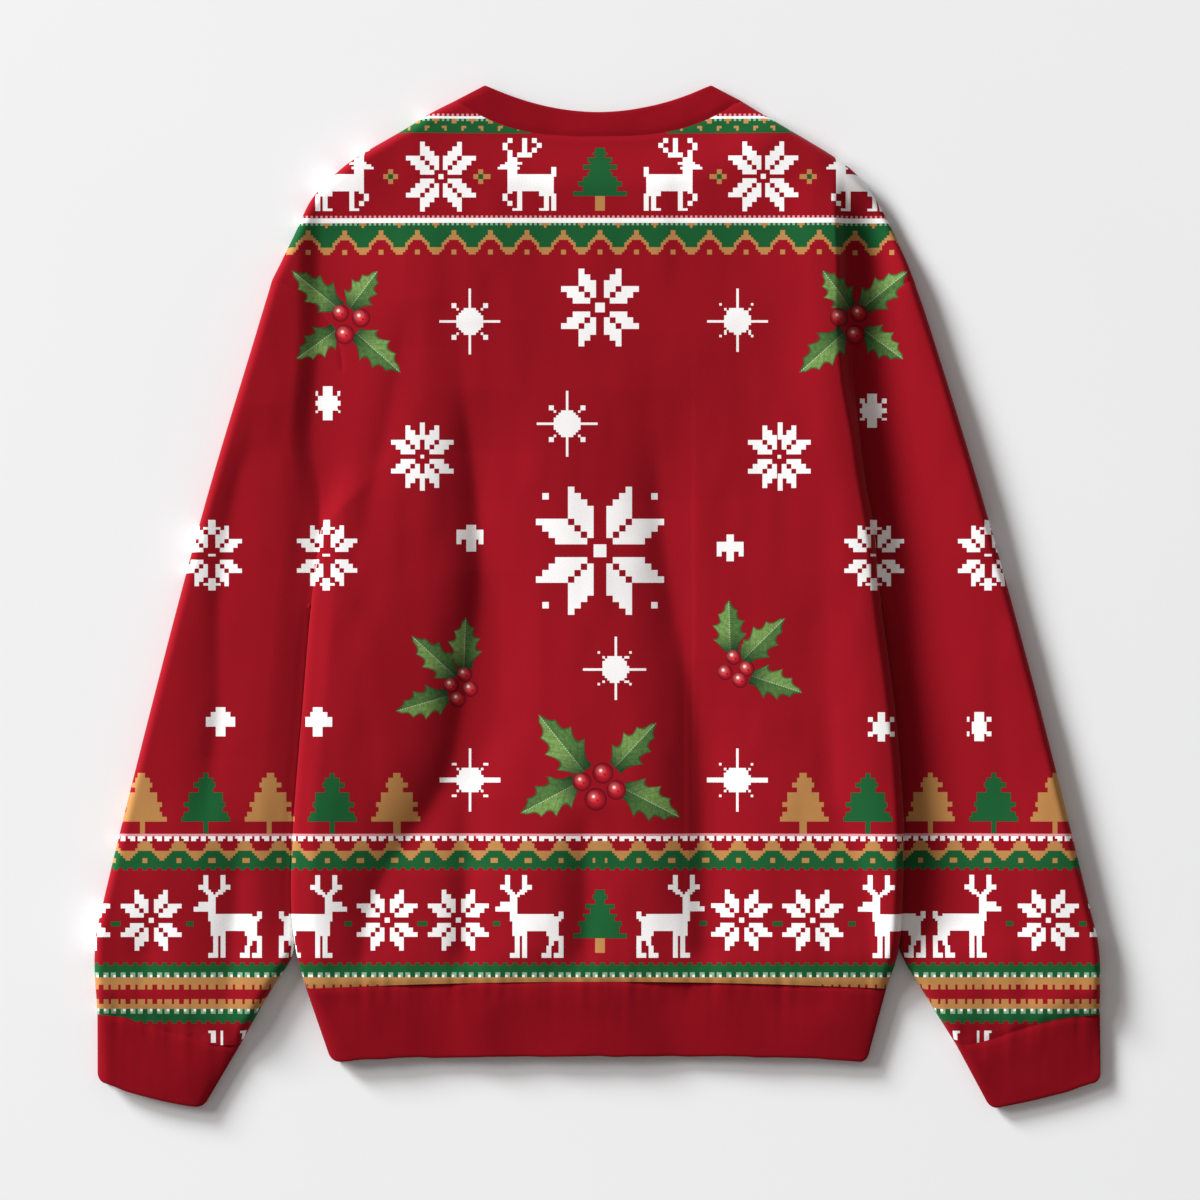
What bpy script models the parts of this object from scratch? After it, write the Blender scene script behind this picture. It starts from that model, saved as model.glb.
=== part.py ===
"""A crew-neck sweatshirt with long drop-shoulder sleeves, laid flat with its back up.

Frame: +X to the right of someone looking down at the back, +Y towards the neck, +Z up
out of the surface that it lies on. Plan sizes below are millimetres. Every piece is a
wall of cloth under one outer surface: the back, the tops of the sleeves and the upper
halves of the bands lie over the front, the undersides and the lower halves. Each sleeve
is one tube of cloth, in two solids: its top and its underside, which meet at its folds.
"""

import bpy
import numpy as np

MM = 0.001
MIDDLE = (-0.2, 0.7)     # middle of the laid-out garment in its plan, placed at the origin

# Cloth
FLEECE = 1.8             # wall of the body and the sleeves
RIB = 2.4                # wall of the neckband, the cuffs and the hem band
SEAM_GAP = 0.3           # between two pieces at a seam

# Heights over the surface that the garment lies on
BODY_LOFT = 17.5
SLEEVE_LOFT = 15.5
SIDE_RIDGE = 3.5         # extra height of the body just inside its side edges
RIDGE_OUTER = 13.0       # half width of that ridge, towards the edge
RIDGE_INNER = 34.0       # and towards the middle
VALLEY = 10.0            # crease between body and sleeve, and the side seams
HEM_SIDE = 8.0           # hem band's folded sides
NECK_LOFT = 11.0
HEM_LOFT = 13.0
CUFF_LOFT = 12.5
MOUTH_LOFT = 11.0        # free edges of the bands
EDGE_HEIGHTS = (         # y, height of the folded outer edges
    (-350.0, 6.5),
    (-290.0, 6.5),
    (-250.0, 8.0),
    (230.0, 8.0),
    (340.0, 7.0),
    (369.0, 6.0),
)

# Rounding of the edges, as distances in plan
EDGE_ROUND = 9.0
UNDER_ROUND = 7.0        # where the underside leaves the surface near an outer edge
SIDE_ROUND = 12.0
LIP = 14.0               # how far the front rises to the side seam
HEM_GATHER = 26.0        # how far the pull of the hem seam reaches into the body
NECK_EASE = 40.0
CUFF_GATHER = 30.0

# The sleeve's inner edge, which lies under the body below the underarm
TUCK = 8.0
TUCK_HEIGHT = 3.0
TUCK_ROUND = 4.0
TUCK_SLOPE = 0.6
TUCK_FADE = 40.0         # length over which the sleeve slides under
TUCK_DROP = 2.0          # how much lower it lies there than the crease above
SLEEVE_RISE = 32.0       # from the crease up to the sleeve's loft
FREE_HEIGHT = 6.5        # the same edge where it has come out from under the body
FREE_ROUND = 8.0
FREE_FROM = -232.0
FREE_TO = -275.0

# Outer edge of the garment, from the neck corner to the shoulder tip to the cuff seam
SHOULDER = (             # y, left x, right x
    (358.4, -102.0, 102.0),
    (348.3, -121.7, 118.5),
    (338.9, -136.5, 134.6),
    (317.9, -172.5, 169.5),
    (304.4, -190.0, 186.5),
    (286.4, -206.6, 200.2),
    (264.8, -217.0, 211.7),
    (243.2, -227.5, 221.8),
    (228.8, -234.7, 227.5),
)
SLEEVE_OUTER = (         # y, left x, right x
    (228.8, -234.7, 227.5),
    (185.6, -247.7, 241.9),
    (70.4, -282.2, 277.2),
    (-73.6, -320.4, 316.8),
    (-217.6, -356.0, 352.8),
    (-255.1, -362.5, 361.0),
    (-300.0, -360.5, 361.5),
)
BODY_EDGE = (            # y, left x, right x, where the body lies over the sleeves
    (300.0, -180.0, 178.0),
    (243.2, -182.9, 181.4),
    (182.9, -182.8, 182.2),
    (98.0, -190.8, 190.8),
    (48.0, -199.5, 199.0),
    (-6.0, -206.6, 204.0),
    (-86.0, -213.3, 214.5),
    (-164.0, -219.5, 220.3),
    (-217.6, -221.0, 219.2),
    (-253.6, -217.5, 216.4),
    (-281.3, -210.2, 207.6),
)
SLEEVE_INNER = (         # y, left x, right x, where it comes out from under the body
    (-215.0, -213.0, 211.2),
    (-253.6, -218.4, 217.3),
    (-285.0, -237.0, 235.0),
    (-322.0, -257.8, 258.0),
)
SIDES = {"left": -1, "right": 1}
TUBES = (                # pieces that share one smooth surface below the armhole's turn
    ("back", "front", "neckband", "hemband"),
    ("sleeve_left", "sleeve_left_under", "cuff_left"),
    ("sleeve_right", "sleeve_right_under", "cuff_right"),
)
UNDERARM = -6.0          # y
ARMHOLE_TURN = 165.0     # y where the armhole leaves the body's edge for the shoulder tip
CREASE_TOP = 250.0       # y where the crease along the body's edge has faded out
CREASE_FADE = 90.0
CREASE_SHARP = 200.0     # y below which it is a sharp edge
SHARP_FADE = 40.0

# Hem band
HEM_SEAM = -281.3        # y at the sides
HEM_SEAM_BOW = 5.0       # how much higher its middle is
HEM_CORNER = (-333.5, -192.2, 193.7)   # y, left x, right x of the free edge's ends
HEM_EDGE_BOW = 4.3

# Neckband
NECK_CORNER = (102.0, 358.4)    # half width and y
NECK_PEAK = (82.1, 368.8)       # the same at the free edge
BACK_NECK = (332.2, 3.0)        # y of the seam's middle, and the scoop's power
FRONT_NECK = (281.0, 2.4)
BACK_RIM = (349.0, 2.0)         # the same for the free edge
FRONT_RIM = (300.0, 2.4)

# Cuffs: seam outer and inner corner, then free edge outer and inner corner
CUFFS = {
    "left": ((-360.5, -300.0), (-257.8, -322.0), (-360.4, -346.8), (-284.0, -366.6)),
    "right": ((361.5, -300.0), (258.0, -322.0), (362.0, -346.8), (282.4, -367.4)),
}
CUFF_BOW = 2.0

# Main folds of the upper cloth: a trough sinks by its depth along its line
FOLDS = (                # x, y of one end, x, y of the other, half width, depth
    (-100.0, 186.0, -100.0, 42.0, 15.0, 4.0),
    (-100.0, 42.0, -97.0, -8.0, 17.0, 5.0),
    (-98.0, -16.0, -152.0, -146.0, 22.0, 6.5),
    (-101.0, -40.0, -118.0, -138.0, 14.0, 2.5),
    (-171.0, -180.0, -170.0, -262.0, 14.0, 4.0),
    (-111.0, -175.0, -111.0, -262.0, 14.0, 4.5),
    (-24.0, -190.0, -24.0, -262.0, 13.0, 3.0),
    (32.0, 110.0, 49.0, 44.0, 15.0, 3.0),
    (49.0, 44.0, 60.0, -38.0, 17.0, 5.0),
    (60.0, -38.0, 61.0, -168.0, 22.0, 7.0),
    (65.0, -185.0, 65.0, -262.0, 14.0, 4.5),
    (153.0, -2.0, 151.0, -88.0, 17.0, 2.0),
    (153.0, -200.0, 150.0, -262.0, 14.0, 2.0),
    (-144.0, 188.0, -171.0, 122.0, 15.0, 2.0),
    (-278.0, 13.0, -283.0, -138.0, 18.0, 3.5),
    (-260.0, -190.0, -265.0, -268.0, 13.0, 3.5),
    (-318.0, -228.0, -330.0, -285.0, 12.0, 2.5),
    (284.0, -30.0, 290.0, -150.0, 18.0, 3.0),
    (300.0, -205.0, 307.0, -280.0, 13.0, 3.0),
    (262.0, -238.0, 282.0, -292.0, 12.0, 2.5),
)
FOLD_FADE = 26.0         # length over which a fold ends

# Rows and columns of each wall: steps next to an edge, and how many lie between
OUTER_STEPS = (0.0, 4.0, 10.0)
INNER_STEPS = (0.0, 6.0)
NECK_STEPS = (0.0, 9.0)
HEM_STEPS = (0.0, 13.0)
UNDERARM_STEPS = (0.0, 11.0)
SIDE_ROWS = 14
ARMHOLE_ROWS = 7
SLEEVE_ROWS = 15
SLEEVE_COLUMNS = 9
SHOULDER_COLUMNS = 10
BACK_NECK_COLUMNS = 18
FRONT_NECK_COLUMNS = 8
BAND_ROWS = 3

FLEECE_RED = (0.292, 0.0070, 0.0144)
RIB_RED = (0.223, 0.0040, 0.0090)
FLEECE_ROUGHNESS = 0.9
RIB_ROUGHNESS = 0.85


# ---- Lines in plan ----

def smooth(t):
    """0 below 0, 1 above 1, and an even turn between."""
    t = np.clip(t, 0.0, 1.0)
    return t * t * (3.0 - 2.0 * t)


def quarter(t):
    """Height of a quarter round, from 0 at t = 0 up to 1 at t = 1."""
    return np.sqrt(1.0 - (1.0 - np.clip(t, 0.0, 1.0)) ** 2)


def curve_through(points, steps=12):
    """A smooth (Catmull-Rom) line through points in plan."""
    p = np.array(points, float)
    ends = np.vstack([2 * p[0] - p[1], p, 2 * p[-1] - p[-2]])
    t = np.linspace(0.0, 1.0, steps, endpoint=False)[:, None]
    spans = []
    for a, b, c, d in zip(ends, ends[1:], ends[2:], ends[3:]):
        bend = (2 * a - 5 * b + 4 * c - d) * t**2 + (3 * b - a - 3 * c + d) * t**3
        spans.append(0.5 * (2 * b + (c - a) * t + bend))
    return np.vstack(spans + [p[-1:]])


def run_of(line):
    """Distance of each of a line's points from its start."""
    return np.r_[0.0, np.cumsum(np.linalg.norm(np.diff(line, axis=0), axis=1))]


def along(line, places):
    """Points at these distances along a line."""
    run = run_of(line)
    return np.stack([np.interp(places, run, axis) for axis in line.T], 1)


def spread(length, first, middle, last):
    """Distances along a length: steps from its start, even ones, steps to its end."""
    even = np.linspace(first[-1], length - last[-1], middle + 1)
    return np.r_[first[:-1], even, length - np.array(last[-2::-1])]


def distance(points, line):
    """Distance in plan from each point to a line."""
    a = line[:-1]
    run = line[1:] - a
    to = points[:, None, :] - a[None]
    t = np.clip((to * run).sum(2) / (run * run).sum(1), 0.0, 1.0)
    return np.linalg.norm(to - t[..., None] * run, axis=2).min(1)


def side_line(table, side):
    """The left or right line of a table of y, left x, right x."""
    return curve_through([(row[1 if side < 0 else 2], row[0]) for row in table])


def edge_x(y, side):
    """How far the body's edge is from the middle at this y."""
    line = side_line(BODY_EDGE, side)[::-1]
    return np.interp(y, line[:, 1], np.abs(line[:, 0]))


def tucked(y):
    """How far the sleeve has slid under the body: 0 at the underarm, 1 lower down."""
    t = np.clip((UNDERARM - y) / TUCK_FADE, 0.0, 1.0)
    return t * (2.0 - t)


def freed(y):
    """0 where the sleeve's inner edge is under the body, 1 where it is clear of it."""
    return smooth((FREE_FROM - y) / (FREE_FROM - FREE_TO))


def hem_corner(side):
    return np.array((HEM_CORNER[1 if side < 0 else 2], HEM_CORNER[0]))


def side_edge(side):
    """The body's edge from the underarm down to the hem band's corner."""
    y = np.linspace(UNDERARM, HEM_SEAM, 50)
    return np.vstack([np.stack([side * edge_x(y, side), y], 1), hem_corner(side)])


def outer_edge(side, cuff):
    """From the neckband's corner down the shoulder, the sleeve and the cuff."""
    peak = (side * NECK_PEAK[0], NECK_PEAK[1])
    sleeve = side_line(SLEEVE_OUTER, side)
    return np.vstack([peak, side_line(SHOULDER, side), sleeve[1:], cuff[2]])


def inner_edge(side):
    """The sleeve's inner edge, from the underarm down to the cuff seam."""
    y = np.linspace(UNDERARM, SLEEVE_INNER[0][0], 30, endpoint=False)
    hidden = np.stack([side * (edge_x(y, side) - TUCK * tucked(y)), y], 1)
    return np.vstack([hidden, side_line(SLEEVE_INNER, side)])


def armhole(side):
    """The armhole in two lines: up the body's edge, then round to the shoulder tip."""
    y = np.linspace(UNDERARM, ARMHOLE_TURN, 30)
    rise = np.stack([side * edge_x(y, side), y], 1)
    turn = rise[-1]
    tip = side_line(SHOULDER, side)[-1]
    pull_up = turn + (0.0, 34.0)
    pull_in = tip + (-side * 22.0, -6.5)
    t = np.linspace(0.0, 1.0, 30)[:, None]
    bend = (1 - t) ** 3 * turn + 3 * (1 - t) ** 2 * t * pull_up
    bend = bend + 3 * (1 - t) * t**2 * pull_in + t**3 * tip
    return rise, bend


def hem_seam_y(x):
    half = np.minimum(np.abs(x) / edge_x(HEM_SEAM, 1), 1.0)
    return HEM_SEAM + HEM_SEAM_BOW * (1 - half**2)


def hem_edge_y(x):
    half = np.minimum(np.maximum(x / HEM_CORNER[1], x / HEM_CORNER[2]), 1.0)
    return HEM_CORNER[0] + HEM_EDGE_BOW * (1 - half**4)


def scoop(x, corner, bottom):
    """y of a neck line that dips from its corners to its middle."""
    middle, power = bottom
    return middle + (corner[1] - middle) * np.minimum(np.abs(x) / corner[0], 1.0) ** power


def neck_line(corner, bottom, count=60):
    x = np.linspace(-corner[0], corner[0], count)
    return np.stack([x, scoop(x, corner, bottom)], 1)


# ---- Heights ----

def edge_height(y):
    rows = np.array(EDGE_HEIGHTS)
    return np.interp(y, rows[:, 0], rows[:, 1])


def side_height(y):
    """Height of the body's side seam, and of the hem band's folded side."""
    return np.interp(y, (HEM_CORNER[0], HEM_SEAM, -240.0), (7.0, HEM_SIDE, VALLEY))


def inner_height(y):
    """Height of the sleeve's folded inner edge."""
    hidden = VALLEY + (TUCK_HEIGHT - VALLEY) * tucked(y)
    return hidden + (FREE_HEIGHT - hidden) * freed(y)


def inner_round(y):
    return TUCK_ROUND + (FREE_ROUND - TUCK_ROUND) * freed(y)


def fold_depth(p):
    """How far the folds lower the upper cloth."""
    sink = np.zeros(len(p))
    for x0, y0, x1, y1, width, depth in FOLDS:
        start = np.array((x0, y0))
        run = np.array((x1, y1)) - start
        reach = np.linalg.norm(run)
        t = (p - start) @ run / reach**2
        off = np.linalg.norm(p - start - t[:, None] * run, axis=1)
        past = np.maximum(-t, t - 1.0) * reach
        fade = 1.0 - smooth((past + FOLD_FADE / 2) / FOLD_FADE)
        sink += depth * np.exp(-((off / width) ** 2)) * fade
    return sink


def loft(p, side, cuff):
    """Height of the upper cloth away from the edges, and how far p is inside the body."""
    inside = edge_x(p[:, 1], side) - side * p[:, 0]
    crease = smooth((CREASE_TOP - p[:, 1]) / CREASE_FADE)
    past = inside - SIDE_ROUND
    ridge = np.exp(-((past / np.where(past > 0, RIDGE_INNER, RIDGE_OUTER)) ** 2))
    level = SLEEVE_LOFT + (BODY_LOFT - SLEEVE_LOFT) * smooth((inside + 20.0) / 50.0)
    level = level + SIDE_RIDGE * crease * ridge - fold_depth(p)
    near_neck = smooth(distance(p, neck_line(NECK_CORNER, BACK_NECK)) / NECK_EASE)
    level = NECK_LOFT + (level - NECK_LOFT) * near_neck
    near_cuff = smooth(distance(p, cuff[:2]) / CUFF_GATHER)
    level = CUFF_LOFT + (level - CUFF_LOFT) * near_cuff
    return level, inside, crease


def rounded(p, z, side, cuff):
    """Brings the upper cloth down to the folded outer edge."""
    edge = edge_height(p[:, 1])
    return edge + (z - edge) * quarter(distance(p, outer_edge(side, cuff)) / EDGE_ROUND)


def lifted_edge(away):
    """Share of a folded edge's height that the underside has this far from it."""
    return 1 - quarter(away / UNDER_ROUND)


def band_height(first, share, edge, away):
    """Height of a band's upper half: share of the way from its seam to its free edge."""
    crown = first + share * (MOUTH_LOFT - first)
    return edge + (crown - edge) * quarter(away / EDGE_ROUND)


def upper_body(p, side, cuff):
    z, inside, crease = loft(p, side, cuff)
    near_hem = smooth((p[:, 1] - hem_seam_y(p[:, 0])) / HEM_GATHER)
    z = HEM_LOFT + (z - HEM_LOFT) * near_hem
    sharp = smooth((CREASE_SHARP - p[:, 1]) / SHARP_FADE)
    over = inside / SIDE_ROUND
    body_rise = (1 - sharp) * smooth(over) + sharp * quarter(over)
    rise = np.where(inside > 0, body_rise, smooth(-inside / SLEEVE_RISE))
    low = np.minimum(z, side_height(p[:, 1]))
    return rounded(p, z - crease * (z - low) * (1 - rise), side, cuff)


def upper_sleeve(p, side, cuff, inner):
    z, inside, crease = loft(p, side, cuff)
    y = p[:, 1]
    low = VALLEY - TUCK_DROP * tucked(y)
    z = z - crease * (z - low) * (1 - smooth(-inside / SLEEVE_RISE))
    z = np.where(inside > 0, low - TUCK_SLOPE * inside, z)
    edge = inner_height(y)
    z = edge + (z - edge) * quarter(distance(p, inner) / inner_round(y))
    return rounded(p, z, side, cuff)


def lower_body(p, side, cuff):
    y = p[:, 1]
    lip = np.clip(1 - distance(p, side_edge(side)) / LIP, 0.0, 1.0)
    under = lifted_edge(distance(p, outer_edge(side, cuff)))
    return np.maximum(side_height(y) * lip, edge_height(y) * under)


def lower_sleeve(p, side, cuff, inner):
    y = p[:, 1]
    reach = LIP + (inner_round(y) - LIP) * tucked(y)
    tuck = 1 - quarter(distance(p, inner) / reach)
    under = lifted_edge(distance(p, outer_edge(side, cuff)))
    return np.maximum(inner_height(y) * tuck, edge_height(y) * under)


def by_side(height, p):
    """Heights over points of the body, from the function for each half."""
    z = np.zeros(len(p))
    for name, side in SIDES.items():
        half = p[:, 0] * side >= 0
        z[half] = height(p[half], side, np.array(CUFFS[name]))
    return z


def lifted(grid, height):
    """A grid of points in plan with their heights added."""
    flat = grid.reshape(-1, 2)
    return np.column_stack([flat, height(flat)]).reshape(*grid.shape[:2], 3)


# ---- Sheets of the outer surface, as rows of points ----

def side_places(side):
    """Points in plan up one side of the body: hem seam, underarm, armhole, shoulder tip."""
    rise, bend = armhole(side)
    y = HEM_SEAM + spread(UNDERARM - HEM_SEAM, HEM_STEPS, SIDE_ROWS, UNDERARM_STEPS)
    low = np.stack([side * edge_x(y, side), y], 1)
    arm = along(rise, spread(run_of(rise)[-1], UNDERARM_STEPS, ARMHOLE_ROWS, (0.0,)))
    top = along(bend, spread(run_of(bend)[-1], INNER_STEPS, SLEEVE_COLUMNS, OUTER_STEPS))
    return low, arm, top


def body_sheet(neck, neck_columns, height):
    """The back or the front, from the hem seam up to the shoulders and the neck seam."""
    edges = []
    for side in SIDES.values():
        low, arm, top = side_places(side)
        edges.append(np.vstack([low, arm[1:], top[1:]]))
    left, right = edges
    turn = len(left) - len(top)
    shoulders = []
    for side in SIDES.values():
        line = side_line(SHOULDER, side)[::-1]
        shoulders.append(along(line, np.linspace(0.0, run_of(line)[-1], SHOULDER_COLUMNS + 1)))
    neck_seam = neck_line(NECK_CORNER, neck)
    neck_places = spread(run_of(neck_seam)[-1], NECK_STEPS, neck_columns, NECK_STEPS)
    crown = np.vstack([shoulders[0], along(neck_seam, neck_places)[1:-1], shoulders[1][::-1]])
    span = crown[-1, 0] - crown[0, 0]
    crown_share = (crown[:, 0] - crown[0, 0]) / span
    columns = len(crown) - 1
    width = right[0, 0] - left[0, 0]
    edge_columns = len(OUTER_STEPS) - 1
    share = spread(width, OUTER_STEPS, columns - 2 * edge_columns, OUTER_STEPS) / width
    climb = run_of(left) / run_of(left)[-1]
    rows = []
    for i, (a, b) in enumerate(zip(left, right)):
        late = smooth((i - turn) / (len(left) - 1 - turn))
        f = share + (crown_share - share) * late
        x = a[0] + f * (b[0] - a[0])
        chord = a[1] + f * (b[1] - a[1])
        ends = np.interp((a[0], b[0]), crown[:, 0], crown[:, 1])
        rise = np.interp(x, crown[:, 0], crown[:, 1]) - ends[0] - f * (ends[1] - ends[0])
        bow = hem_seam_y(x) - HEM_SEAM
        y = chord + climb[i] ** 2 * rise + (1 - climb[i]) ** 2 * bow
        rows.append(np.stack([x, y], 1))
    rows[-1] = crown
    return lifted(np.array(rows), lambda p: by_side(height, p))


def sleeve_sheets(side, cuff, back, front):
    """A sleeve's upper and lower sheet, from the armhole down to the cuff seam."""
    low, arm, top = side_places(side)
    inner = inner_edge(side)
    below = spread(run_of(inner)[-1], UNDERARM_STEPS, SLEEVE_ROWS, (0.0,))
    inside = np.vstack([arm[::-1], along(inner, below)[1:]])
    outer = side_line(SLEEVE_OUTER, side)
    share = run_of(inside) / run_of(inside)[-1]
    outside = along(outer, share * run_of(outer)[-1])
    first = top[::-1]
    first_share = run_of(first) / run_of(first)[-1]
    first_bow = first - (first[0] + first_share[:, None] * (first[-1] - first[0]))
    rows = []
    for i, (a, b) in enumerate(zip(outside, inside)):
        width = np.linalg.norm(b - a)
        f = spread(width, OUTER_STEPS, SLEEVE_COLUMNS, INNER_STEPS) / width
        f = first_share if i == 0 else f
        bow = first_bow * (1 - share[i]) ** 3
        sag = -CUFF_BOW * np.sin(np.pi * f) * share[i] ** 3
        rows.append(a + f[:, None] * (b - a) + bow + np.stack([0 * sag, sag], 1))
    grid = np.array(rows)
    over = lifted(grid, lambda p: upper_sleeve(p, side, cuff, inner))
    under = lifted(grid, lambda p: lower_sleeve(p, side, cuff, inner))
    under[:, 0] = over[:, 0]
    under[len(arm) - 1:, -1] = over[len(arm) - 1:, -1]
    arm_rows = len(low) - 1 + np.arange(len(arm))[::-1]
    top_rows = len(low) + len(arm) - 2 + np.arange(len(top))[::-1]
    edge = 0 if side < 0 else -1
    for sheet, body in ((over, back), (under, front)):
        sheet[: len(arm), -1] = body[arm_rows, edge]
        sheet[0] = body[top_rows, edge]
    return over, under


def band_sheet(seam, free, height):
    """One half of a band, from the seam's points to the free edge's points in plan."""
    share = np.linspace(0.0, 1.0, BAND_ROWS + 1)[:, None, None]
    plan = seam[None, :, :2] + share * (free - seam[:, :2])[None]
    sheet = np.dstack([plan, np.zeros(plan.shape[:2])])
    for i, row in enumerate(plan):
        sheet[i, :, 2] = seam[:, 2] if i == 0 else height(row, i / BAND_ROWS)
    return sheet


def neckband_half(seam, rim, upper):
    free_x = seam[:, 0] * NECK_PEAK[0] / NECK_CORNER[0]
    free = np.stack([free_x, scoop(free_x, NECK_PEAK, rim)], 1)
    fold = np.array([NECK_CORNER, NECK_PEAK])

    def height(row, share):
        edge = edge_height(NECK_CORNER[1] + share * (NECK_PEAK[1] - NECK_CORNER[1]))
        away = np.minimum(distance(row, fold), distance(row, fold * (-1, 1)))
        return band_height(NECK_LOFT, share, edge, away) if upper else edge * lifted_edge(away)

    return band_sheet(seam, free, height)


def hemband_half(seam, upper):
    left, right = hem_corner(-1), hem_corner(1)
    share_x = (seam[:, 0] - seam[0, 0]) / (seam[-1, 0] - seam[0, 0])
    free_x = left[0] + share_x * (right[0] - left[0])
    free = np.stack([free_x, hem_edge_y(free_x)], 1)
    folds = [np.array([seam[0, :2], left]), np.array([seam[-1, :2], right])]

    def height(row, share):
        edge = side_height(HEM_SEAM + share * (HEM_CORNER[0] - HEM_SEAM))
        away = np.minimum(distance(row, folds[0]), distance(row, folds[1]))
        if upper:
            return band_height(HEM_LOFT, share, edge, away)
        part_way = np.minimum(away / (LIP + share * (UNDER_ROUND - LIP)), 1.0)
        return edge * (1 - part_way + share * (part_way - quarter(part_way)))

    return band_sheet(seam, free, height)


def cuff_half(seam, cuff, upper):
    outer, inner = cuff[2], cuff[3]
    share = run_of(seam[:, :2]) / run_of(seam[:, :2])[-1]
    free = outer + share[:, None] * (inner - outer)
    free[:, 1] -= CUFF_BOW * np.sin(np.pi * share)
    folds = [np.array([cuff[0], cuff[2]]), np.array([cuff[1], cuff[3]])]

    def height(row, share):
        edge = FREE_HEIGHT
        away = np.minimum(distance(row, folds[0]), distance(row, folds[1]))
        return band_height(CUFF_LOFT, share, edge, away) if upper else edge * lifted_edge(away)

    return band_sheet(seam, free, height)


# ---- One outer surface, cut into pieces with walls ----

class Garment:
    """The whole outer surface: shared points, and each piece's faces on them."""

    def __init__(self):
        self.points = []
        self.index = {}
        self.faces = {}

    def point(self, p):
        key = tuple(np.round(p, 4))
        if key not in self.index:
            self.index[key] = len(self.points)
            self.points.append(np.array(p, float))
        return self.index[key]

    def add(self, piece, sheet, upper):
        """Adds a sheet's quads to a piece, facing up or down."""
        at = [[self.point(p) for p in row] for row in sheet]
        quads = []
        for low, high in zip(at, at[1:]):
            quads += [q for q in zip(low, low[1:], high[1:], high)]
        turn = sum(self.facing(q)[2] for q in quads)
        if (turn > 0) != upper:
            quads = [q[::-1] for q in quads]
        self.faces.setdefault(piece, []).extend(quads)

    def facing(self, quad):
        a, b, c, d = (self.points[k] for k in quad)
        return np.cross(c - a, d - b)

    def normals(self, pieces):
        """Unit normals of the surface that these pieces make together."""
        total = np.zeros((len(self.points), 3))
        for piece in pieces:
            for quad in self.faces[piece]:
                total[list(quad)] += self.facing(quad)
        size = np.linalg.norm(total, axis=1)
        return total / np.where(size > 0, size, 1.0)[:, None]


def rim_edges(quads):
    """The edges that only one of these faces has, each with its face."""
    seen = {}
    for quad in quads:
        for a, b in zip(quad, quad[1:] + quad[:1]):
            seen.setdefault(frozenset((a, b)), []).append((a, b, quad))
    return [uses[0] for uses in seen.values() if len(uses) == 1]


def wall(garment, piece, thickness, normals, shared):
    """A piece as a closed wall: outer points, inner points, and rims between them."""
    quads = [tuple(quad) for quad in garment.faces[piece]]
    rims = rim_edges(quads)
    outer = {k: garment.points[k].copy() for quad in quads for k in quad}
    pulls = {}
    for a, b, quad in rims:
        if a in shared and b in shared:
            run = garment.points[b] - garment.points[a]
            into = np.cross(garment.facing(quad), run)
            into /= np.linalg.norm(into)
            for k in (a, b):
                pulls.setdefault(k, []).append(into)
    for k, pull in pulls.items():
        total = sum(pull)
        spare = max(1.0 + pull[0] @ pull[-1], 0.4) if len(pull) > 1 else 1.0
        outer[k] += SEAM_GAP / 2 * total / spare
        outer[k][2] = max(outer[k][2], 0.0)
    names = {k: i for i, k in enumerate(outer)}
    count = len(outer)
    inner = [outer[k] - thickness * normals[k] for k in outer]
    faces = []
    for quad in quads:
        a, b, c, d = (outer[k] for k in quad)
        turn = quad if np.linalg.norm(c - a) < np.linalg.norm(d - b) else quad[1:] + quad[:1]
        a, b, c, d = (names[k] for k in turn)
        for triangle in ((a, b, c), (a, c, d)):
            faces.append(triangle)
            faces.append([k + count for k in reversed(triangle)])
    for a, b, quad in rims:
        loop = [names[b], names[a], names[a] + count, names[b] + count]
        if a < b:
            loop = loop[1:] + loop[:1]
        faces += [[loop[0], loop[1], loop[2]], [loop[0], loop[2], loop[3]]]
    return list(outer.values()) + inner, faces


def make_object(name, points, faces, material):
    mesh = bpy.data.meshes.new(name)
    origin = np.array((*MIDDLE, 0.0))
    mesh.from_pydata([tuple((p - origin) * MM) for p in points], [], faces)
    mesh.shade_smooth()
    mesh.set_sharp_from_angle(angle=np.radians(50))
    mesh.materials.append(material)
    part = bpy.data.objects.new(name, mesh)
    bpy.context.scene.collection.objects.link(part)
    return part


def make_material(name, colour, roughness):
    material = bpy.data.materials.new(name)
    material.use_nodes = True
    shader = material.node_tree.nodes["Principled BSDF"]
    shader.inputs["Base Color"].default_value = (*colour, 1.0)
    shader.inputs["Roughness"].default_value = roughness
    shader.inputs["Metallic"].default_value = 0.0
    return material


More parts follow.
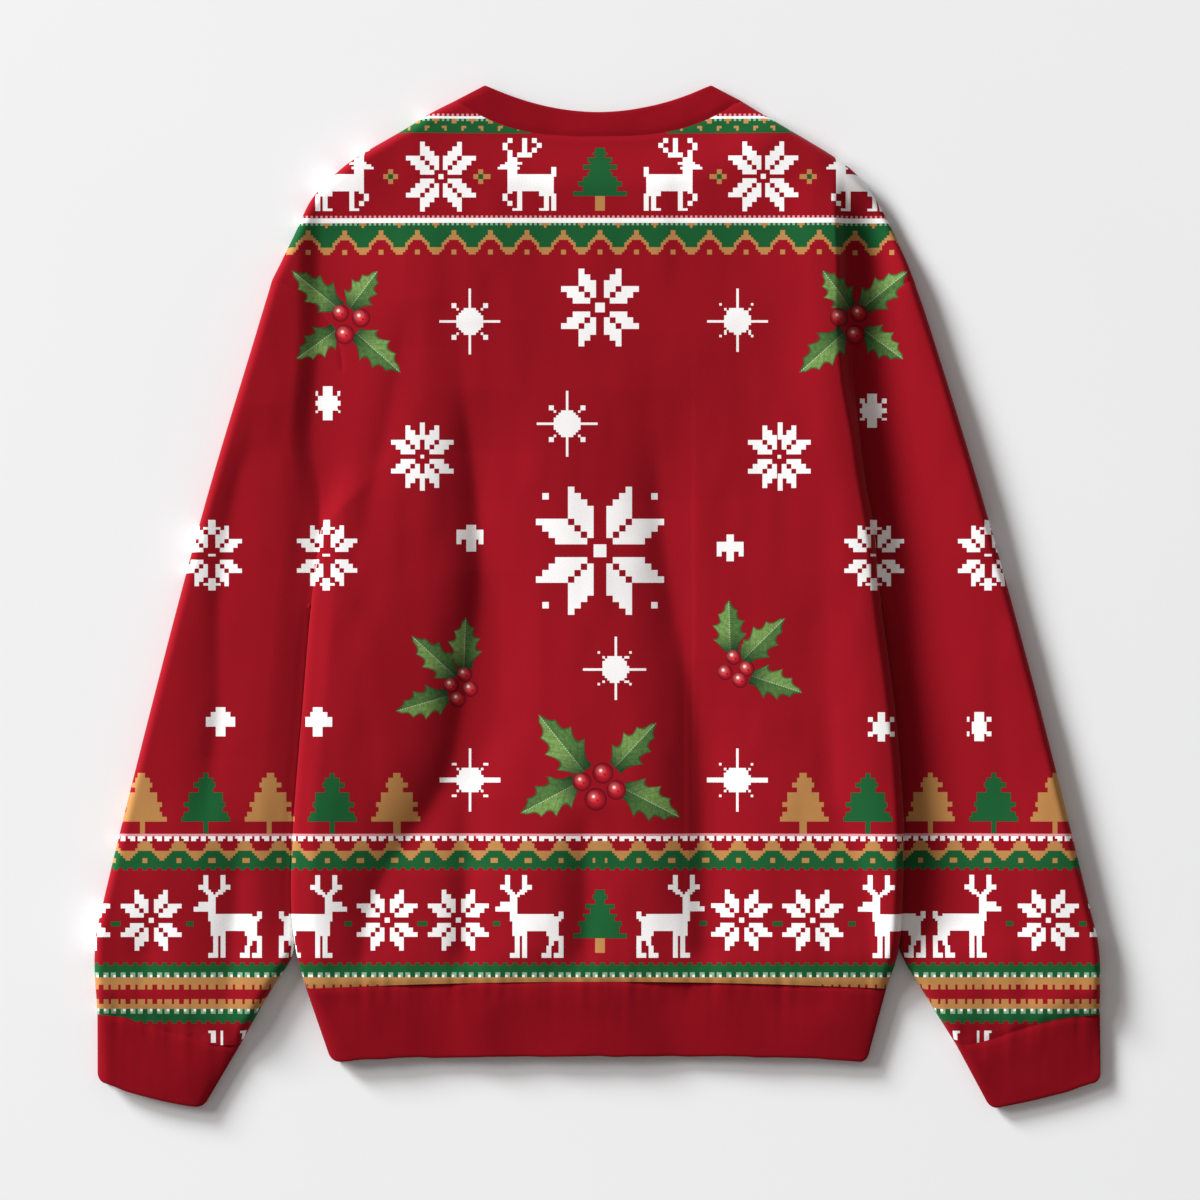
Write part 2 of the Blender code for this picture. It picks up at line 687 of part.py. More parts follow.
def build():
    for old in list(bpy.data.objects):
        bpy.data.objects.remove(old)
    garment = Garment()
    back = body_sheet(BACK_NECK, BACK_NECK_COLUMNS, upper_body)
    front = body_sheet(FRONT_NECK, FRONT_NECK_COLUMNS, lower_body)
    for column in (0, -1):
        rows = slice(0, len(side_places(1)[0]))
        front[rows, column] = back[rows, column]
    shoulder = SHOULDER_COLUMNS + 1
    front[-1, :shoulder] = back[-1, :shoulder]
    front[-1, -shoulder:] = back[-1, -shoulder:]
    garment.add("back", back, True)
    garment.add("front", front, False)
    for name, side in SIDES.items():
        cuff = np.array(CUFFS[name])
        over, under = sleeve_sheets(side, cuff, back, front)
        garment.add(f"sleeve_{name}", over, True)
        garment.add(f"sleeve_{name}_under", under, False)
        for sheet, upper in ((over, True), (under, False)):
            garment.add(f"cuff_{name}", cuff_half(sheet[-1], cuff, upper), upper)
    neck = slice(SHOULDER_COLUMNS, -SHOULDER_COLUMNS)
    garment.add("neckband", neckband_half(back[-1, neck], BACK_RIM, True), True)
    garment.add("neckband", neckband_half(front[-1, neck], FRONT_RIM, False), False)
    garment.add("hemband", hemband_half(back[0], True), True)
    garment.add("hemband", hemband_half(front[0], False), False)

    owners = {}
    for piece, quads in garment.faces.items():
        for quad in quads:
            for k in quad:
                owners.setdefault(k, set()).add(piece)
    shared = {k for k, pieces in owners.items() if len(pieces) > 1}
    high = np.array(garment.points)[:, 1:2] > ARMHOLE_TURN
    whole = garment.normals(garment.faces)
    for piece in garment.faces:
        tube = garment.normals(next(group for group in TUBES if piece in group))
        normals = np.where(high, whole, tube)
        rib = "band" in piece or "cuff" in piece
        thickness = RIB if rib else FLEECE
        colour = RIB_RED if rib else FLEECE_RED
        roughness = RIB_ROUGHNESS if rib else FLEECE_ROUGHNESS
        points, faces = wall(garment, piece, thickness, normals, shared)
        make_object(piece, points, faces, make_material(piece, colour, roughness))


build()
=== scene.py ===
import bpy
import numpy as np
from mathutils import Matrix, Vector
from mathutils.geometry import delaunay_2d_cdt


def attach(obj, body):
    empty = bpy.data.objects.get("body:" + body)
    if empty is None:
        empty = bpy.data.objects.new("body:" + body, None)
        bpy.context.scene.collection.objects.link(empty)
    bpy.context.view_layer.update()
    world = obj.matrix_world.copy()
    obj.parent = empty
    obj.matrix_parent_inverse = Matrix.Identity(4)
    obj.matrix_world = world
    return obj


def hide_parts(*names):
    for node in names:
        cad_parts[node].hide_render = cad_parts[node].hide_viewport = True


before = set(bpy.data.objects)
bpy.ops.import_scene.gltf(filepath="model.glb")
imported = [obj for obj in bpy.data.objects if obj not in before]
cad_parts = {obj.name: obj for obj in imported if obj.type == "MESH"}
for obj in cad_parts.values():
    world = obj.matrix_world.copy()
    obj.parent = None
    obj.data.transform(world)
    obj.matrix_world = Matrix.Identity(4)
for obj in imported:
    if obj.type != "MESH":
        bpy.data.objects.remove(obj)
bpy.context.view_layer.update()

# The garment lies flat with its back up. Plan sizes are millimetres, +X to the right of
# someone looking down at the back and +Y towards the neck. The print is laid out on a
# square of 1200 units, 0.72 mm each, with its rows and columns along the plan's axes.

MM = 0.001
MIDDLE = np.array((-0.2, 0.7))      # the origin's place in plan
UNIT = 0.72
LAYOUT = (598.0, 597.75)            # the plan's middle in the print's layout
CELL = 1.75                         # side of one cell of the print
PRINT_X = 1.44                      # middle line of the print
FLEECE = 1.8                        # thickness of the body's and the sleeves' cloth
RIB = 2.4                           # and of the bands
COARSE = 6                          # cells of the print to a cell of the inner side
LEFT, RIGHT = -1, 1
SIDES = {"left": LEFT, "right": RIGHT}

# Heights of the upper cloth above the surface.
BODY_LOFT = 17.5
SLEEVE_LOFT = {LEFT: 15.5, RIGHT: 14.5}
LOFT_FROM, LOFT_FADE = 20.0, 50.0   # the change from one to the other, from the valley
LOWEST = 4.4
FLOOR_SHARPNESS = 0.9               # of the bend at the lowest height
SIDE_RIDGE = {LEFT: 0.0, RIGHT: 6.5}    # of the body's side, over its loft
RIDGE_OUTER, RIDGE_INNER = 13.0, 34.0   # its widths
NECK_LOFT = 11.0
NECK_EASE = 40.0
HEM_LOFT = 12.5
HEM_GATHER = 26.0
CUFF_LOFT = 11.0
CUFF_GATHER = 20.0
MOUTH_LOFT = 11.0                   # of the hem band and the left cuff at their free edges
EDGE_HEIGHTS = (                    # y, height of the outer edge
    (-350.0, 6.5),
    (-290.0, 6.5),
    (-250.0, 6.0),
    (230.0, 6.0),
    (340.0, 7.0),
    (369.0, 6.0),
)
SIDE_HEIGHTS = ((-333.5, 7.0), (-281.3, 8.0), (-240.0, 10.0))   # of the body's side

# Rounded edges, and what the cloth does beside them.
EDGE_ROUND = 5.5
UNDER_ROUND = 7.0
SIDE_ROUND = {LEFT: 6.0, RIGHT: 7.0}
WRAP = 0.45                         # cloth that an edge takes up, as a share of its radius
LIP = 14.0                          # width over which the lower cloth rises to the side
ROUND_SHARE, SLOPE_SHARE = 0.55, 0.45   # of the left side's rise, by its edge and its slope
SIDE_SLOPE = 18.0

# The valley between the body and each sleeve.
VALLEY = 10.0                       # its height at its upper end
DEEP = {LEFT: 9.0, RIGHT: 4.6}      # and where it is open
VALLEY_FROM = {LEFT: 19.0, RIGHT: -6.0}
VALLEY_FADE = 55.0
VALLEY_OPENS = 12.0
MOVED_FROM, MOVED_FADE = 45.0, 80.0 # where the left valley leaves the body's edge
MOVED_BY = 17.0
MOVED_ROUND = 70.0
SOFT_ROUND = 3.0
SLEEVE_FLAT = 25.0                  # width of the right valley's floor
SLEEVE_RISE = 90.0                  # and of the sleeve's slope, where the sleeve is wide
SLEEVE_WIDE = 118.0
NARROWEST = 0.35
LOW_RISE = ((0.1, 9.0), (0.5, 26.0), (0.4, 70.0))   # share, width of the left sleeve's rise
HIGH_RISE = ((0.75, 18.0), (0.25, 50.0))

# The sleeve's inner edge: tucked under the body, then free.
UNDERARM = -6.0
TUCK = 8.0
TUCK_HEIGHT = 3.0
TUCK_ROUND = 4.0
TUCK_FADE = 40.0
FREE_HEIGHT = 6.5
FREE_ROUND = 8.0
FREE_FROM, FREE_TO = -232.0, -275.0
FREE_SHARE = 0.9                    # of the valley that the free stretch fills
ARMHOLE_TURN = 165.0
ARMHOLE_PULL_UP = (0.0, 34.0)
ARMHOLE_PULL_IN = (22.0, -6.5)
ARMHOLE_BLEND = 10.0
SHARP_FADE = 60.0

# Lines of the outline: y, x on the left, x on the right.
SHOULDER = (
    (358.4, -102.0, 102.0),
    (348.3, -121.7, 118.5),
    (338.9, -136.5, 134.6),
    (317.9, -172.5, 169.5),
    (304.4, -190.0, 186.5),
    (286.4, -206.6, 200.2),
    (264.8, -217.0, 211.7),
    (243.2, -227.5, 221.8),
    (228.8, -234.7, 227.5),
)
SLEEVE_OUTER = (
    (228.8, -234.7, 227.5),
    (185.6, -247.7, 241.9),
    (70.4, -282.2, 277.2),
    (-73.6, -320.4, 316.8),
    (-217.6, -356.0, 352.8),
    (-255.1, -362.5, 361.0),
    (-300.0, -360.5, 361.5),
)
BODY_EDGE = (
    (300.0, -180.0, 178.0),
    (243.2, -182.9, 181.4),
    (182.9, -182.8, 182.2),
    (98.0, -190.8, 190.8),
    (48.0, -199.5, 199.0),
    (-6.0, -206.6, 204.0),
    (-86.0, -213.3, 214.5),
    (-164.0, -219.5, 220.3),
    (-217.6, -221.0, 219.2),
    (-253.6, -217.5, 216.4),
    (-281.3, -210.2, 207.6),
)
SLEEVE_INNER = (
    (-215.0, -213.0, 211.2),
    (-253.6, -218.4, 217.3),
    (-285.0, -237.0, 235.0),
    (-322.0, -257.8, 258.0),
)
HEM_SEAM = -281.3
HEM_SEAM_BOW = 5.0
HEM_CORNER = (-333.5, -192.2, 193.7)
HEM_EDGE_BOW = 4.3
NECK_CORNER = (102.0, 358.4)
NECK_PEAK = (82.1, 368.8)
BACK_NECK = (332.2, 3.0)            # lowest y, power of the curve
FRONT_NECK = (281.0, 2.4)
BACK_RIM = (349.0, 2.0)
FRONT_RIM = (300.0, 2.4)
CUFFS = {                           # seam's outer and inner end, free edge's outer and inner end
    LEFT: np.array(((-360.5, -300.0), (-257.8, -322.0), (-360.4, -346.8), (-284.0, -366.6))),
    RIGHT: np.array(((361.5, -300.0), (258.0, -322.0), (362.0, -346.8), (282.4, -367.4))),
}
CUFF_BOW = 2.0
CUFF_SEAM = {                       # share of the way in, how far above the straight line
    LEFT: ((0, 0), (0.22, 2.8), (0.3, -0.2), (0.48, -1.6), (0.68, -1.6), (0.81, -4.2), (1, 0)),
    RIGHT: ((0, 0), (0.25, 3.2), (0.35, 3.4), (0.63, 0.8), (0.72, -1), (0.9, -1.8), (1, 0)),
}

CREASE_TOP = 312.0                  # the creases fade in below this
CREASE_FADE = 62.0
CREASE_SOFT = 5.0                   # rounding of a crease's bottom
CREASE_REACH = 150.0
CREASES = (                         # places of the trough (x, y, depth), its widths west and east
    (((-98, 200, 0), (-96, 150, 3.5), (-90, 106, 9), (-86, 70, 11), (-82, -2, 12),
      (-83, -44, 11), (-86, -90, 9), (-89, -125, 6), (-96, -165, 2), (-104, -200, 0)), 17, 44),
    (((-86, 20, 0), (-88, -20, 3), (-90, -52, 5.5), (-97, -98, 9), (-111, -136, 10.5),
      (-130, -165, 10.5), (-153, -200, 8.5), (-164, -230, 8.5), (-168, -262, 7)), 20, 46),
    (((38, 190, 0), (40, 150, 1.5), (42, 121, 3.5), (45, 70, 8), (54, -2, 9.5), (63, -44, 10.5),
      (71, -80, 12.5), (76, -117, 13), (78, -167, 13), (78, -215, 12), (78, -262, 9)), 23, 44),
    (((-138, 215, 0), (-141, 180, 3), (-146, 150, 4), (-155, 106, 4.5), (-163, 70, 2.5),
      (-177, -2, 0)), 12, 26),
    (((-93, -145, 0), (-94, -190, 8), (-95, -262, 8)), 16, 22),
    (((-8, -150, 0), (-8, -195, 6.5), (-9, -262, 7)), 17, 24),
    (((163, 20, 0), (163, -40, 2.5), (164, -90, 2.5), (172, -150, 3), (190, -200, 6.5),
      (196, -262, 6.5)), 30, 14),
    (((-246, 140, 0), (-251, 106, 2.5), (-262, 70, 4), (-272, -2, 4.5), (-272, -74, 4),
      (-277, -115, 4), (-284, -170, 0)), 11, 28),
    (((-257, -160, 0), (-260, -200, 4), (-264, -268, 4), (-268, -296, 2.5)), 13, 13),
    (((-318, -215, 0), (-324, -255, 2.5), (-330, -290, 2)), 12, 12),
    (((284, 60, 0), (286, -60, 2), (291, -130, 2.5), (294, -190, 0)), 18, 22),
    (((299, -195, 0), (303, -240, 3), (308, -285, 2.5)), 13, 16),
    (((258, -225, 0), (270, -262, 2.5), (284, -295, 2)), 12, 12),
)
SWELLS = ((0.7, (34.0, 62.0), 3), (0.3, (15.0, 31.0), 5))   # height, size, seed
NOISE_SIDE = 97
GATHER_HEIGHT = 0.45
GATHER_REACH = 16.0
BODY_SEED, SLEEVE_SEED = 21, 31
SEAM_GAP = 0.3
HEM_DIP_HALF = 212.0                # half length of the hem seam's dip in the body
SHARP_EDGE = 60.0                   # least angle of an edge that isn't shaded smooth, in degrees
UNDERARM_RED = 16.0                 # around the underarm the inner side shows the field's red
LOWEST_INSIDE = 0.2                 # height of the cloth's inner side over the surface
SEAM_DIP = 0.8
ARM_DIP = 0.5                       # at the armhole seam
SEAM_WIDTH = 2.0


# ---- Camera, floor and light ----

FOCUS = Vector((0.00164, -0.00232, 0.008))
VIEW_WIDTH = 0.864
LENS = 240.0
SENSOR = 36.0
FLOOR_HALF = 6.0
FLOOR_LOW = -0.0002                 # just under the cloth that rests on it
SUN_POWER = 4.6
SUN_ANGLE = 16.0
SUN_COLOUR = (0.965, 0.985, 1.0)
SUN_TOWARDS = (0.76, -0.65, -0.335)
FILL_AT = (-6.5, 2.6, 4.05)
FILL_SIZE = 2.6
FILL_POWER = 330.0
SKY_COLOUR = (1.0, 0.95, 0.915, 1.0)
SKY_STRENGTH = 0.27


def placed(name, data, place=(0.0, 0.0, 0.0), towards=None):
    """A new object in the scene, turned to look this way where one is given."""
    made = bpy.data.objects.new(name, data)
    made.location = place
    if towards is not None:
        made.rotation_euler = Vector(towards).to_track_quat("-Z", "Y").to_euler()
    bpy.context.scene.collection.objects.link(made)
    return made


def make_camera():
    data = bpy.data.cameras.new("camera")
    data.lens = LENS
    data.sensor_width = SENSOR
    data.clip_end = 50.0
    above = Vector((0.0, 0.0, VIEW_WIDTH * LENS / SENSOR))
    bpy.context.scene.camera = placed("camera", data, FOCUS + above)


make_camera()


def srgb(red, green, blue):
    """Linear colour of three 0 to 255 display values."""
    c = np.array((red, green, blue)) / 255.0
    linear = np.where(c <= 0.04045, c / 12.92, ((c + 0.055) / 1.055) ** 2.4)
    return (*linear, 1.0)


MATT = 0.9
SHEEN, SPECULAR = 0.06, 0.04        # of the cloth
SHEEN_ROUGHNESS = 0.45
BUMP_DEPTH = 0.0004


class Nodes:
    """A material's node tree, with short calls for the nodes used here."""

    def __init__(self, name):
        self.material = bpy.data.materials.new(name)
        self.material.use_nodes = True
        self.tree = self.material.node_tree
        self.shader = self.tree.nodes["Principled BSDF"]

    def add(self, kind, settings, links, output=0):
        node = self.tree.nodes.new(kind)
        for name, value in settings.items():
            setattr(node, name, value)
        for place, value in links.items():
            if isinstance(value, bpy.types.NodeSocket):
                self.tree.links.new(value, node.inputs[place])
            else:
                node.inputs[place].default_value = value
        return node.outputs[output]

    def attribute(self, name, output="Vector"):
        return self.add("ShaderNodeAttribute", {"attribute_name": name}, {}, output)

    def math(self, operation, a, b=0.0, c=0.0):
        links = {0: a, 1: b, 2: c}
        return self.add("ShaderNodeMath", {"operation": operation}, links)

    def times(self, first, *others):
        for other in others:
            first = self.math("MULTIPLY", first, other)
        return first

    def line(self, value, slope, start):
        """The value times the slope, plus the start."""
        return self.math("MULTIPLY_ADD", value, slope, start)

    def over(self, a, b):
        return self.math("GREATER_THAN", a, b)

    def under(self, a, b):
        return self.math("LESS_THAN", a, b)

    def vector(self, operation, a, b=(0.0, 0.0, 0.0)):
        output = "Value" if operation in ("LENGTH", "DISTANCE") else "Vector"
        links = {0: a, 1: b}
        return self.add("ShaderNodeVectorMath", {"operation": operation}, links, output)

    def parts(self, vector):
        split = self.tree.nodes.new("ShaderNodeSeparateXYZ")
        self.tree.links.new(vector, split.inputs[0])
        return split.outputs

    def mix(self, share, a, b):
        links = {"Factor": share, "A": a, "B": b}
        node = self.tree.nodes.new("ShaderNodeMix")
        node.data_type = "RGBA"
        for name, value in links.items():
            kind = "VALUE" if name == "Factor" else "RGBA"
            place = next(i for i in node.inputs if i.name == name and i.type == kind)
            if isinstance(value, bpy.types.NodeSocket):
                self.tree.links.new(value, place)
            else:
                place.default_value = value
        return next(o for o in node.outputs if o.type == "RGBA")

    def noise(self, place, scale, detail=2.0):
        links = {"Vector": place, "Scale": scale, "Detail": detail}
        return self.add("ShaderNodeTexNoise", {}, links, "Fac")

    def between(self, value, low, high, to_low=0.0, to_high=1.0):
        links = {0: value, 1: low, 2: high, 3: to_low, 4: to_high}
        return self.add("ShaderNodeMapRange", {}, links)

    def shaded(self, colour, shade):
        out = self.vector("SCALE", colour)
        self.tree.links.new(shade, out.node.inputs["Scale"])
        return out

    def offset(self, cloth, at):
        """From a figure's middle to this place of the cloth."""
        flat = self.vector("MULTIPLY", at, (1.0, 1.0, 0.0))
        return self.vector("SUBTRACT", cloth, flat)

    def finish(self, colour, height, strength, sheen, specular):
        """The material with its colour, its fine relief and its sheen."""
        tree, shader = self.tree, self.shader
        tree.links.new(colour, shader.inputs["Base Color"])
        bump = tree.nodes.new("ShaderNodeBump")
        bump.inputs["Strength"].default_value = strength
        bump.inputs["Distance"].default_value = BUMP_DEPTH
        tree.links.new(height, bump.inputs["Height"])
        tree.links.new(bump.outputs[0], shader.inputs["Normal"])
        shader.inputs["Roughness"].default_value = MATT
        shader.inputs["Specular IOR Level"].default_value = specular
        shader.inputs["Sheen Weight"].default_value = sheen
        shader.inputs["Sheen Roughness"].default_value = SHEEN_ROUGHNESS
        return self.material


def make_stage():
    nodes = Nodes("floor")
    place = nodes.add("ShaderNodeTexCoord", {}, {}, "Object")
    grain = nodes.noise(place, 3.0)
    colour = nodes.mix(grain, srgb(243, 243, 244), srgb(239, 240, 241))
    mesh = bpy.data.meshes.new("floor")
    corners = [(FLOOR_HALF * x, FLOOR_HALF * y, FLOOR_LOW)
               for x, y in ((-1, -1), (1, -1), (1, 1), (-1, 1))]
    mesh.from_pydata(corners, [], [(0, 1, 2, 3)])
    mesh.materials.append(nodes.finish(colour, grain, 0.02, 0.0, 0.2))
    placed("floor", mesh)
    sun = bpy.data.lights.new("key", "SUN")
    sun.energy = SUN_POWER
    sun.angle = np.radians(SUN_ANGLE)
    sun.color = SUN_COLOUR
    placed("key", sun, towards=SUN_TOWARDS)
    fill = bpy.data.lights.new("fill", "AREA")
    fill.shape = "RECTANGLE"
    fill.size = fill.size_y = FILL_SIZE
    fill.energy = FILL_POWER
    placed("fill", fill, FILL_AT, -Vector(FILL_AT))
    world = bpy.data.worlds.new("studio")
    world.use_nodes = True
    sky = world.node_tree.nodes["Background"]
    sky.inputs["Color"].default_value = SKY_COLOUR
    sky.inputs["Strength"].default_value = SKY_STRENGTH
    bpy.context.scene.world = world
    bpy.context.scene.view_settings.view_transform = "Standard"


make_stage()


# ---- Lines in plan ----

def smooth(t):
    t = np.clip(t, 0.0, 1.0)
    return t * t * (3.0 - 2.0 * t)


def quarter(t):
    return np.sqrt(1.0 - (1.0 - np.clip(t, 0.0, 1.0)) ** 2)


def curve_through(points, steps=12):
    """A smooth (Catmull-Rom) line through points in plan."""
    p = np.array(points, float)
    ends = np.vstack([2 * p[0] - p[1], p, 2 * p[-1] - p[-2]])
    t = np.linspace(0.0, 1.0, steps, endpoint=False)[:, None]
    spans = []
    for a, b, c, d in zip(ends, ends[1:], ends[2:], ends[3:]):
        bend = (2 * a - 5 * b + 4 * c - d) * t**2 + (3 * b - a - 3 * c + d) * t**3
        spans.append(0.5 * (2 * b + (c - a) * t + bend))
    return np.vstack(spans + [p[-1:]])


def run_of(line):
    return np.r_[0.0, np.cumsum(np.linalg.norm(np.diff(line, axis=0), axis=1))]


def along(line, places):
    run = run_of(line)
    return np.stack([np.interp(places, run, axis) for axis in line.T], 1)


def nearest(points, line):
    """Signed distance from a line, positive on its left, and the unit normal to the left."""
    start = line[:-1]
    run = line[1:] - start
    square = (run**2).sum(1)
    distances = np.empty(len(points))
    normals = np.empty((len(points), 2))
    for first in range(0, len(points), 6000):
        part = slice(first, first + 6000)
        to = points[part][:, None] - start[None]
        t = np.clip((to * run).sum(2) / square, 0.0, 1.0)
        off = to - t[..., None] * run
        far = np.linalg.norm(off, axis=2)
        k = far.argmin(1)
        rows = np.arange(len(k))
        off, far = off[rows, k], far[rows, k]
        left = np.stack([-run[k, 1], run[k, 0]], 1) / np.sqrt(square[k])[:, None]
        sign = np.where((off * left).sum(1) < 0, -1.0, 1.0)
        away = off * (sign / np.maximum(far, 1e-9))[:, None]
        distances[part] = sign * far
        normals[part] = np.where((far > 0.05)[:, None], away, left)
    return distances, normals


def distance(points, line):
    return np.abs(nearest(points, line)[0])


def side_line(table, side):
    return curve_through([(row[1 if side < 0 else 2], row[0]) for row in table])


BODY_SIDES = {side: side_line(BODY_EDGE, side)[::-1] for side in (LEFT, RIGHT)}
SLEEVE_SIDE = side_line(SLEEVE_OUTER, RIGHT)[::-1]


def edge_x(y, side):
    """How far the body's side lies from the middle line."""
    line = BODY_SIDES[side]
    return np.interp(y, line[:, 1], np.abs(line[:, 0]))


def tucked(y):
    """Share by which the sleeve's inner edge lies under the body."""
    t = np.clip((UNDERARM - y) / TUCK_FADE, 0.0, 1.0)
    return t * (2.0 - t)


def freed(y):
    """Share by which the sleeve's inner edge is free of the body again."""
    return smooth((FREE_FROM - y) / (FREE_FROM - FREE_TO))


def hem_corner(side):
    return np.array((HEM_CORNER[1 if side < 0 else 2], HEM_CORNER[0]))


def side_edge(side):
    y = np.linspace(UNDERARM, HEM_SEAM, 50)
    return np.vstack([np.stack([side * edge_x(y, side), y], 1), hem_corner(side)])


def outer_edge(side):
    """The outer edge from the neckband's peak to the cuff's free edge."""
    peak = (side * NECK_PEAK[0], NECK_PEAK[1])
    sleeve = side_line(SLEEVE_OUTER, side)
    return np.vstack([peak, side_line(SHOULDER, side), sleeve[1:], CUFFS[side][2]])


def inner_edge(side):
    y = np.linspace(UNDERARM, SLEEVE_INNER[0][0], 30, endpoint=False)
    hidden = np.stack([side * (edge_x(y, side) - TUCK * tucked(y)), y], 1)
    return np.vstack([hidden, side_line(SLEEVE_INNER, side)])


def armhole(side):
    """The armhole's seam: up along the body's side, then over to the shoulder."""
    y = np.linspace(UNDERARM, ARMHOLE_TURN, 60)
    rise = np.stack([side * edge_x(y, side), y], 1)
    turn = rise[-1]
    tip = side_line(SHOULDER, side)[-1]
    pull_up = turn + ARMHOLE_PULL_UP
    pull_in = tip + (-side * ARMHOLE_PULL_IN[0], ARMHOLE_PULL_IN[1])
    t = np.linspace(0.0, 1.0, 40)[:, None]
    bend = (1 - t) ** 3 * turn + 3 * (1 - t) ** 2 * t * pull_up
    bend = bend + 3 * (1 - t) * t**2 * pull_in + t**3 * tip
    return rise, bend


def hem_seam_y(x):
    half = np.minimum(np.abs(x) / edge_x(HEM_SEAM, 1), 1.0)
    return HEM_SEAM + HEM_SEAM_BOW * (1 - half**2)


def hem_edge_y(x):
    half = np.minimum(np.maximum(x / HEM_CORNER[1], x / HEM_CORNER[2]), 1.0)
    return HEM_CORNER[0] + HEM_EDGE_BOW * (1 - half**4)


def scoop(x, corner, bottom):
    """A neckline: its lowest place and power, and the corner that it ends at."""
    middle, power = bottom
    return middle + (corner[1] - middle) * np.minimum(np.abs(x) / corner[0], 1.0) ** power


def neck_line(corner, bottom, count=120):
    x = np.linspace(-corner[0], corner[0], count)
    return np.stack([x, scoop(x, corner, bottom)], 1)


def cuff_seam(side, count=80):
    """The cuff seam from its outer corner to its inner one."""
    outer, inner = CUFFS[side][:2]
    share, drop = np.array(CUFF_SEAM[side]).T
    f = np.linspace(0.0, 1.0, count)
    line = outer + f[:, None] * (inner - outer)
    line[:, 1] += smoothed(np.interp(f, share, drop), 7)
    return line


def smoothed(values, size):
    """A running mean that keeps the ends."""
    pad = size // 2
    wide = np.pad(values, pad, mode="edge")
    mean = np.convolve(wide, np.ones(size) / size, "valid")
    mean[0], mean[-1] = values[0], values[-1]
    return mean


# ---- Heights of the cloth ----

def edge_height(y):
    rows = np.array(EDGE_HEIGHTS)
    return np.interp(y, rows[:, 0], rows[:, 1])


def side_height(y):
    rows = np.array(SIDE_HEIGHTS)
    return np.interp(y, rows[:, 0], rows[:, 1])


def inner_height(y):
    hidden = VALLEY + (TUCK_HEIGHT - VALLEY) * tucked(y)
    return hidden + (FREE_HEIGHT - hidden) * freed(y)


def inner_round(y):
    return TUCK_ROUND + (FREE_ROUND - TUCK_ROUND) * freed(y)


def tuck_reach(y):
    """Width over which the sleeve's lower cloth rises to its inner edge."""
    return LIP + (inner_round(y) - LIP) * tucked(y)


def noise(p, size, seed):
    """Smooth noise between -1 and 1, with swells about this size."""
    table = np.random.default_rng(seed).uniform(-1.0, 1.0, (NOISE_SIDE, NOISE_SIDE))
    q = p / np.array(size) + NOISE_SIDE // 2
    low = np.floor(q).astype(int)
    t = q - low
    t = t * t * t * (t * (6.0 * t - 15.0) + 10.0)
    i, j = (low % NOISE_SIDE).T
    k, m = (i + 1) % NOISE_SIDE, (j + 1) % NOISE_SIDE
    near = table[i, j] * (1 - t[:, 0]) + table[k, j] * t[:, 0]
    far = table[i, m] * (1 - t[:, 0]) + table[k, m] * t[:, 0]
    return near * (1 - t[:, 1]) + far * t[:, 1]


def sunk_by(table, p):
    """How far these folds lower the cloth."""
    sink = np.zeros(len(p))
    for places, west, east in table:
        places = np.array(places, float)
        low, high = places[:, :2].min(0), places[:, :2].max(0)
        some = np.flatnonzero(((p > low - CREASE_REACH) & (p < high + CREASE_REACH)).all(1))
        if not len(some):
            continue
        away, _ = nearest(p[some], curve_through(places[:, :2], 6))
        depth = np.interp(p[some, 1], places[::-1, 1], places[::-1, 2])
        width = np.where(away > 0, east, west)
        far = np.hypot(away, CREASE_SOFT) - CREASE_SOFT
        sink[some] += depth * np.exp(-far / width)
    return sink


def relief(p):
    """Folds, soft swells and fine creases of the upper cloth."""
    return sunk_by(CREASES, p) + sum(high * noise(p, size, seed) for high, size, seed in SWELLS)


def seam_dip(p, lines, depth=SEAM_DIP):
    away = np.min([distance(p, line) for line in lines], axis=0)
    return depth * np.exp(-((away / SEAM_WIDTH) ** 2))


def gathers(place, away, seed):
    """Small gathers along a band's seam, from the distance along it and from it."""
    where = np.stack([place, 0.25 * away], 1)
    wave = noise(where, (5.5, 9.0), seed) + 0.6 * noise(where, (11.0, 30.0), seed + 1)
    return GATHER_HEIGHT * wave * np.exp(-away / GATHER_REACH)


def opened(share, outside):
    """Share of the valley's depth, which is full a little way out from the body's edge."""
    return 1 - (1 - share) * np.exp(-((np.maximum(outside, 0.0) / VALLEY_OPENS) ** 2))


def valley(y, side, outside):
    """Height of the valley between the body and the sleeve, above the underarm."""
    share = smooth((y - VALLEY_FROM[side]) / VALLEY_FADE)
    return VALLEY + (DEEP[side] - VALLEY) * opened(share, outside)


def moved_out(y, side):
    """Share by which the valley lies outside the body's edge, near the left armhole."""
    return smooth((y - MOVED_FROM) / MOVED_FADE) if side < 0 else 0.0 * y


def from_valley(p, side):
    """Distance inwards from the bottom of the valley."""
    return edge_x(p[:, 1], side) - side * p[:, 0] + MOVED_BY * moved_out(p[:, 1], side)


def sleeve_rise(outside, y, side):
    """How far a sleeve's cloth has risen out of the valley, at this distance from it."""
    if side > 0:
        room = np.interp(y, SLEEVE_SIDE[:, 1], SLEEVE_SIDE[:, 0]) - edge_x(y, side)
        wide = np.clip(room / SLEEVE_WIDE, NARROWEST, 1.0)
        return smooth((outside / wide - SLEEVE_FLAT) / SLEEVE_RISE)
    low, high = (sum(share * smooth(outside / width) for share, width in rise)
                 for rise in (LOW_RISE, HIGH_RISE))
    return low + (high - low) * moved_out(y, side)


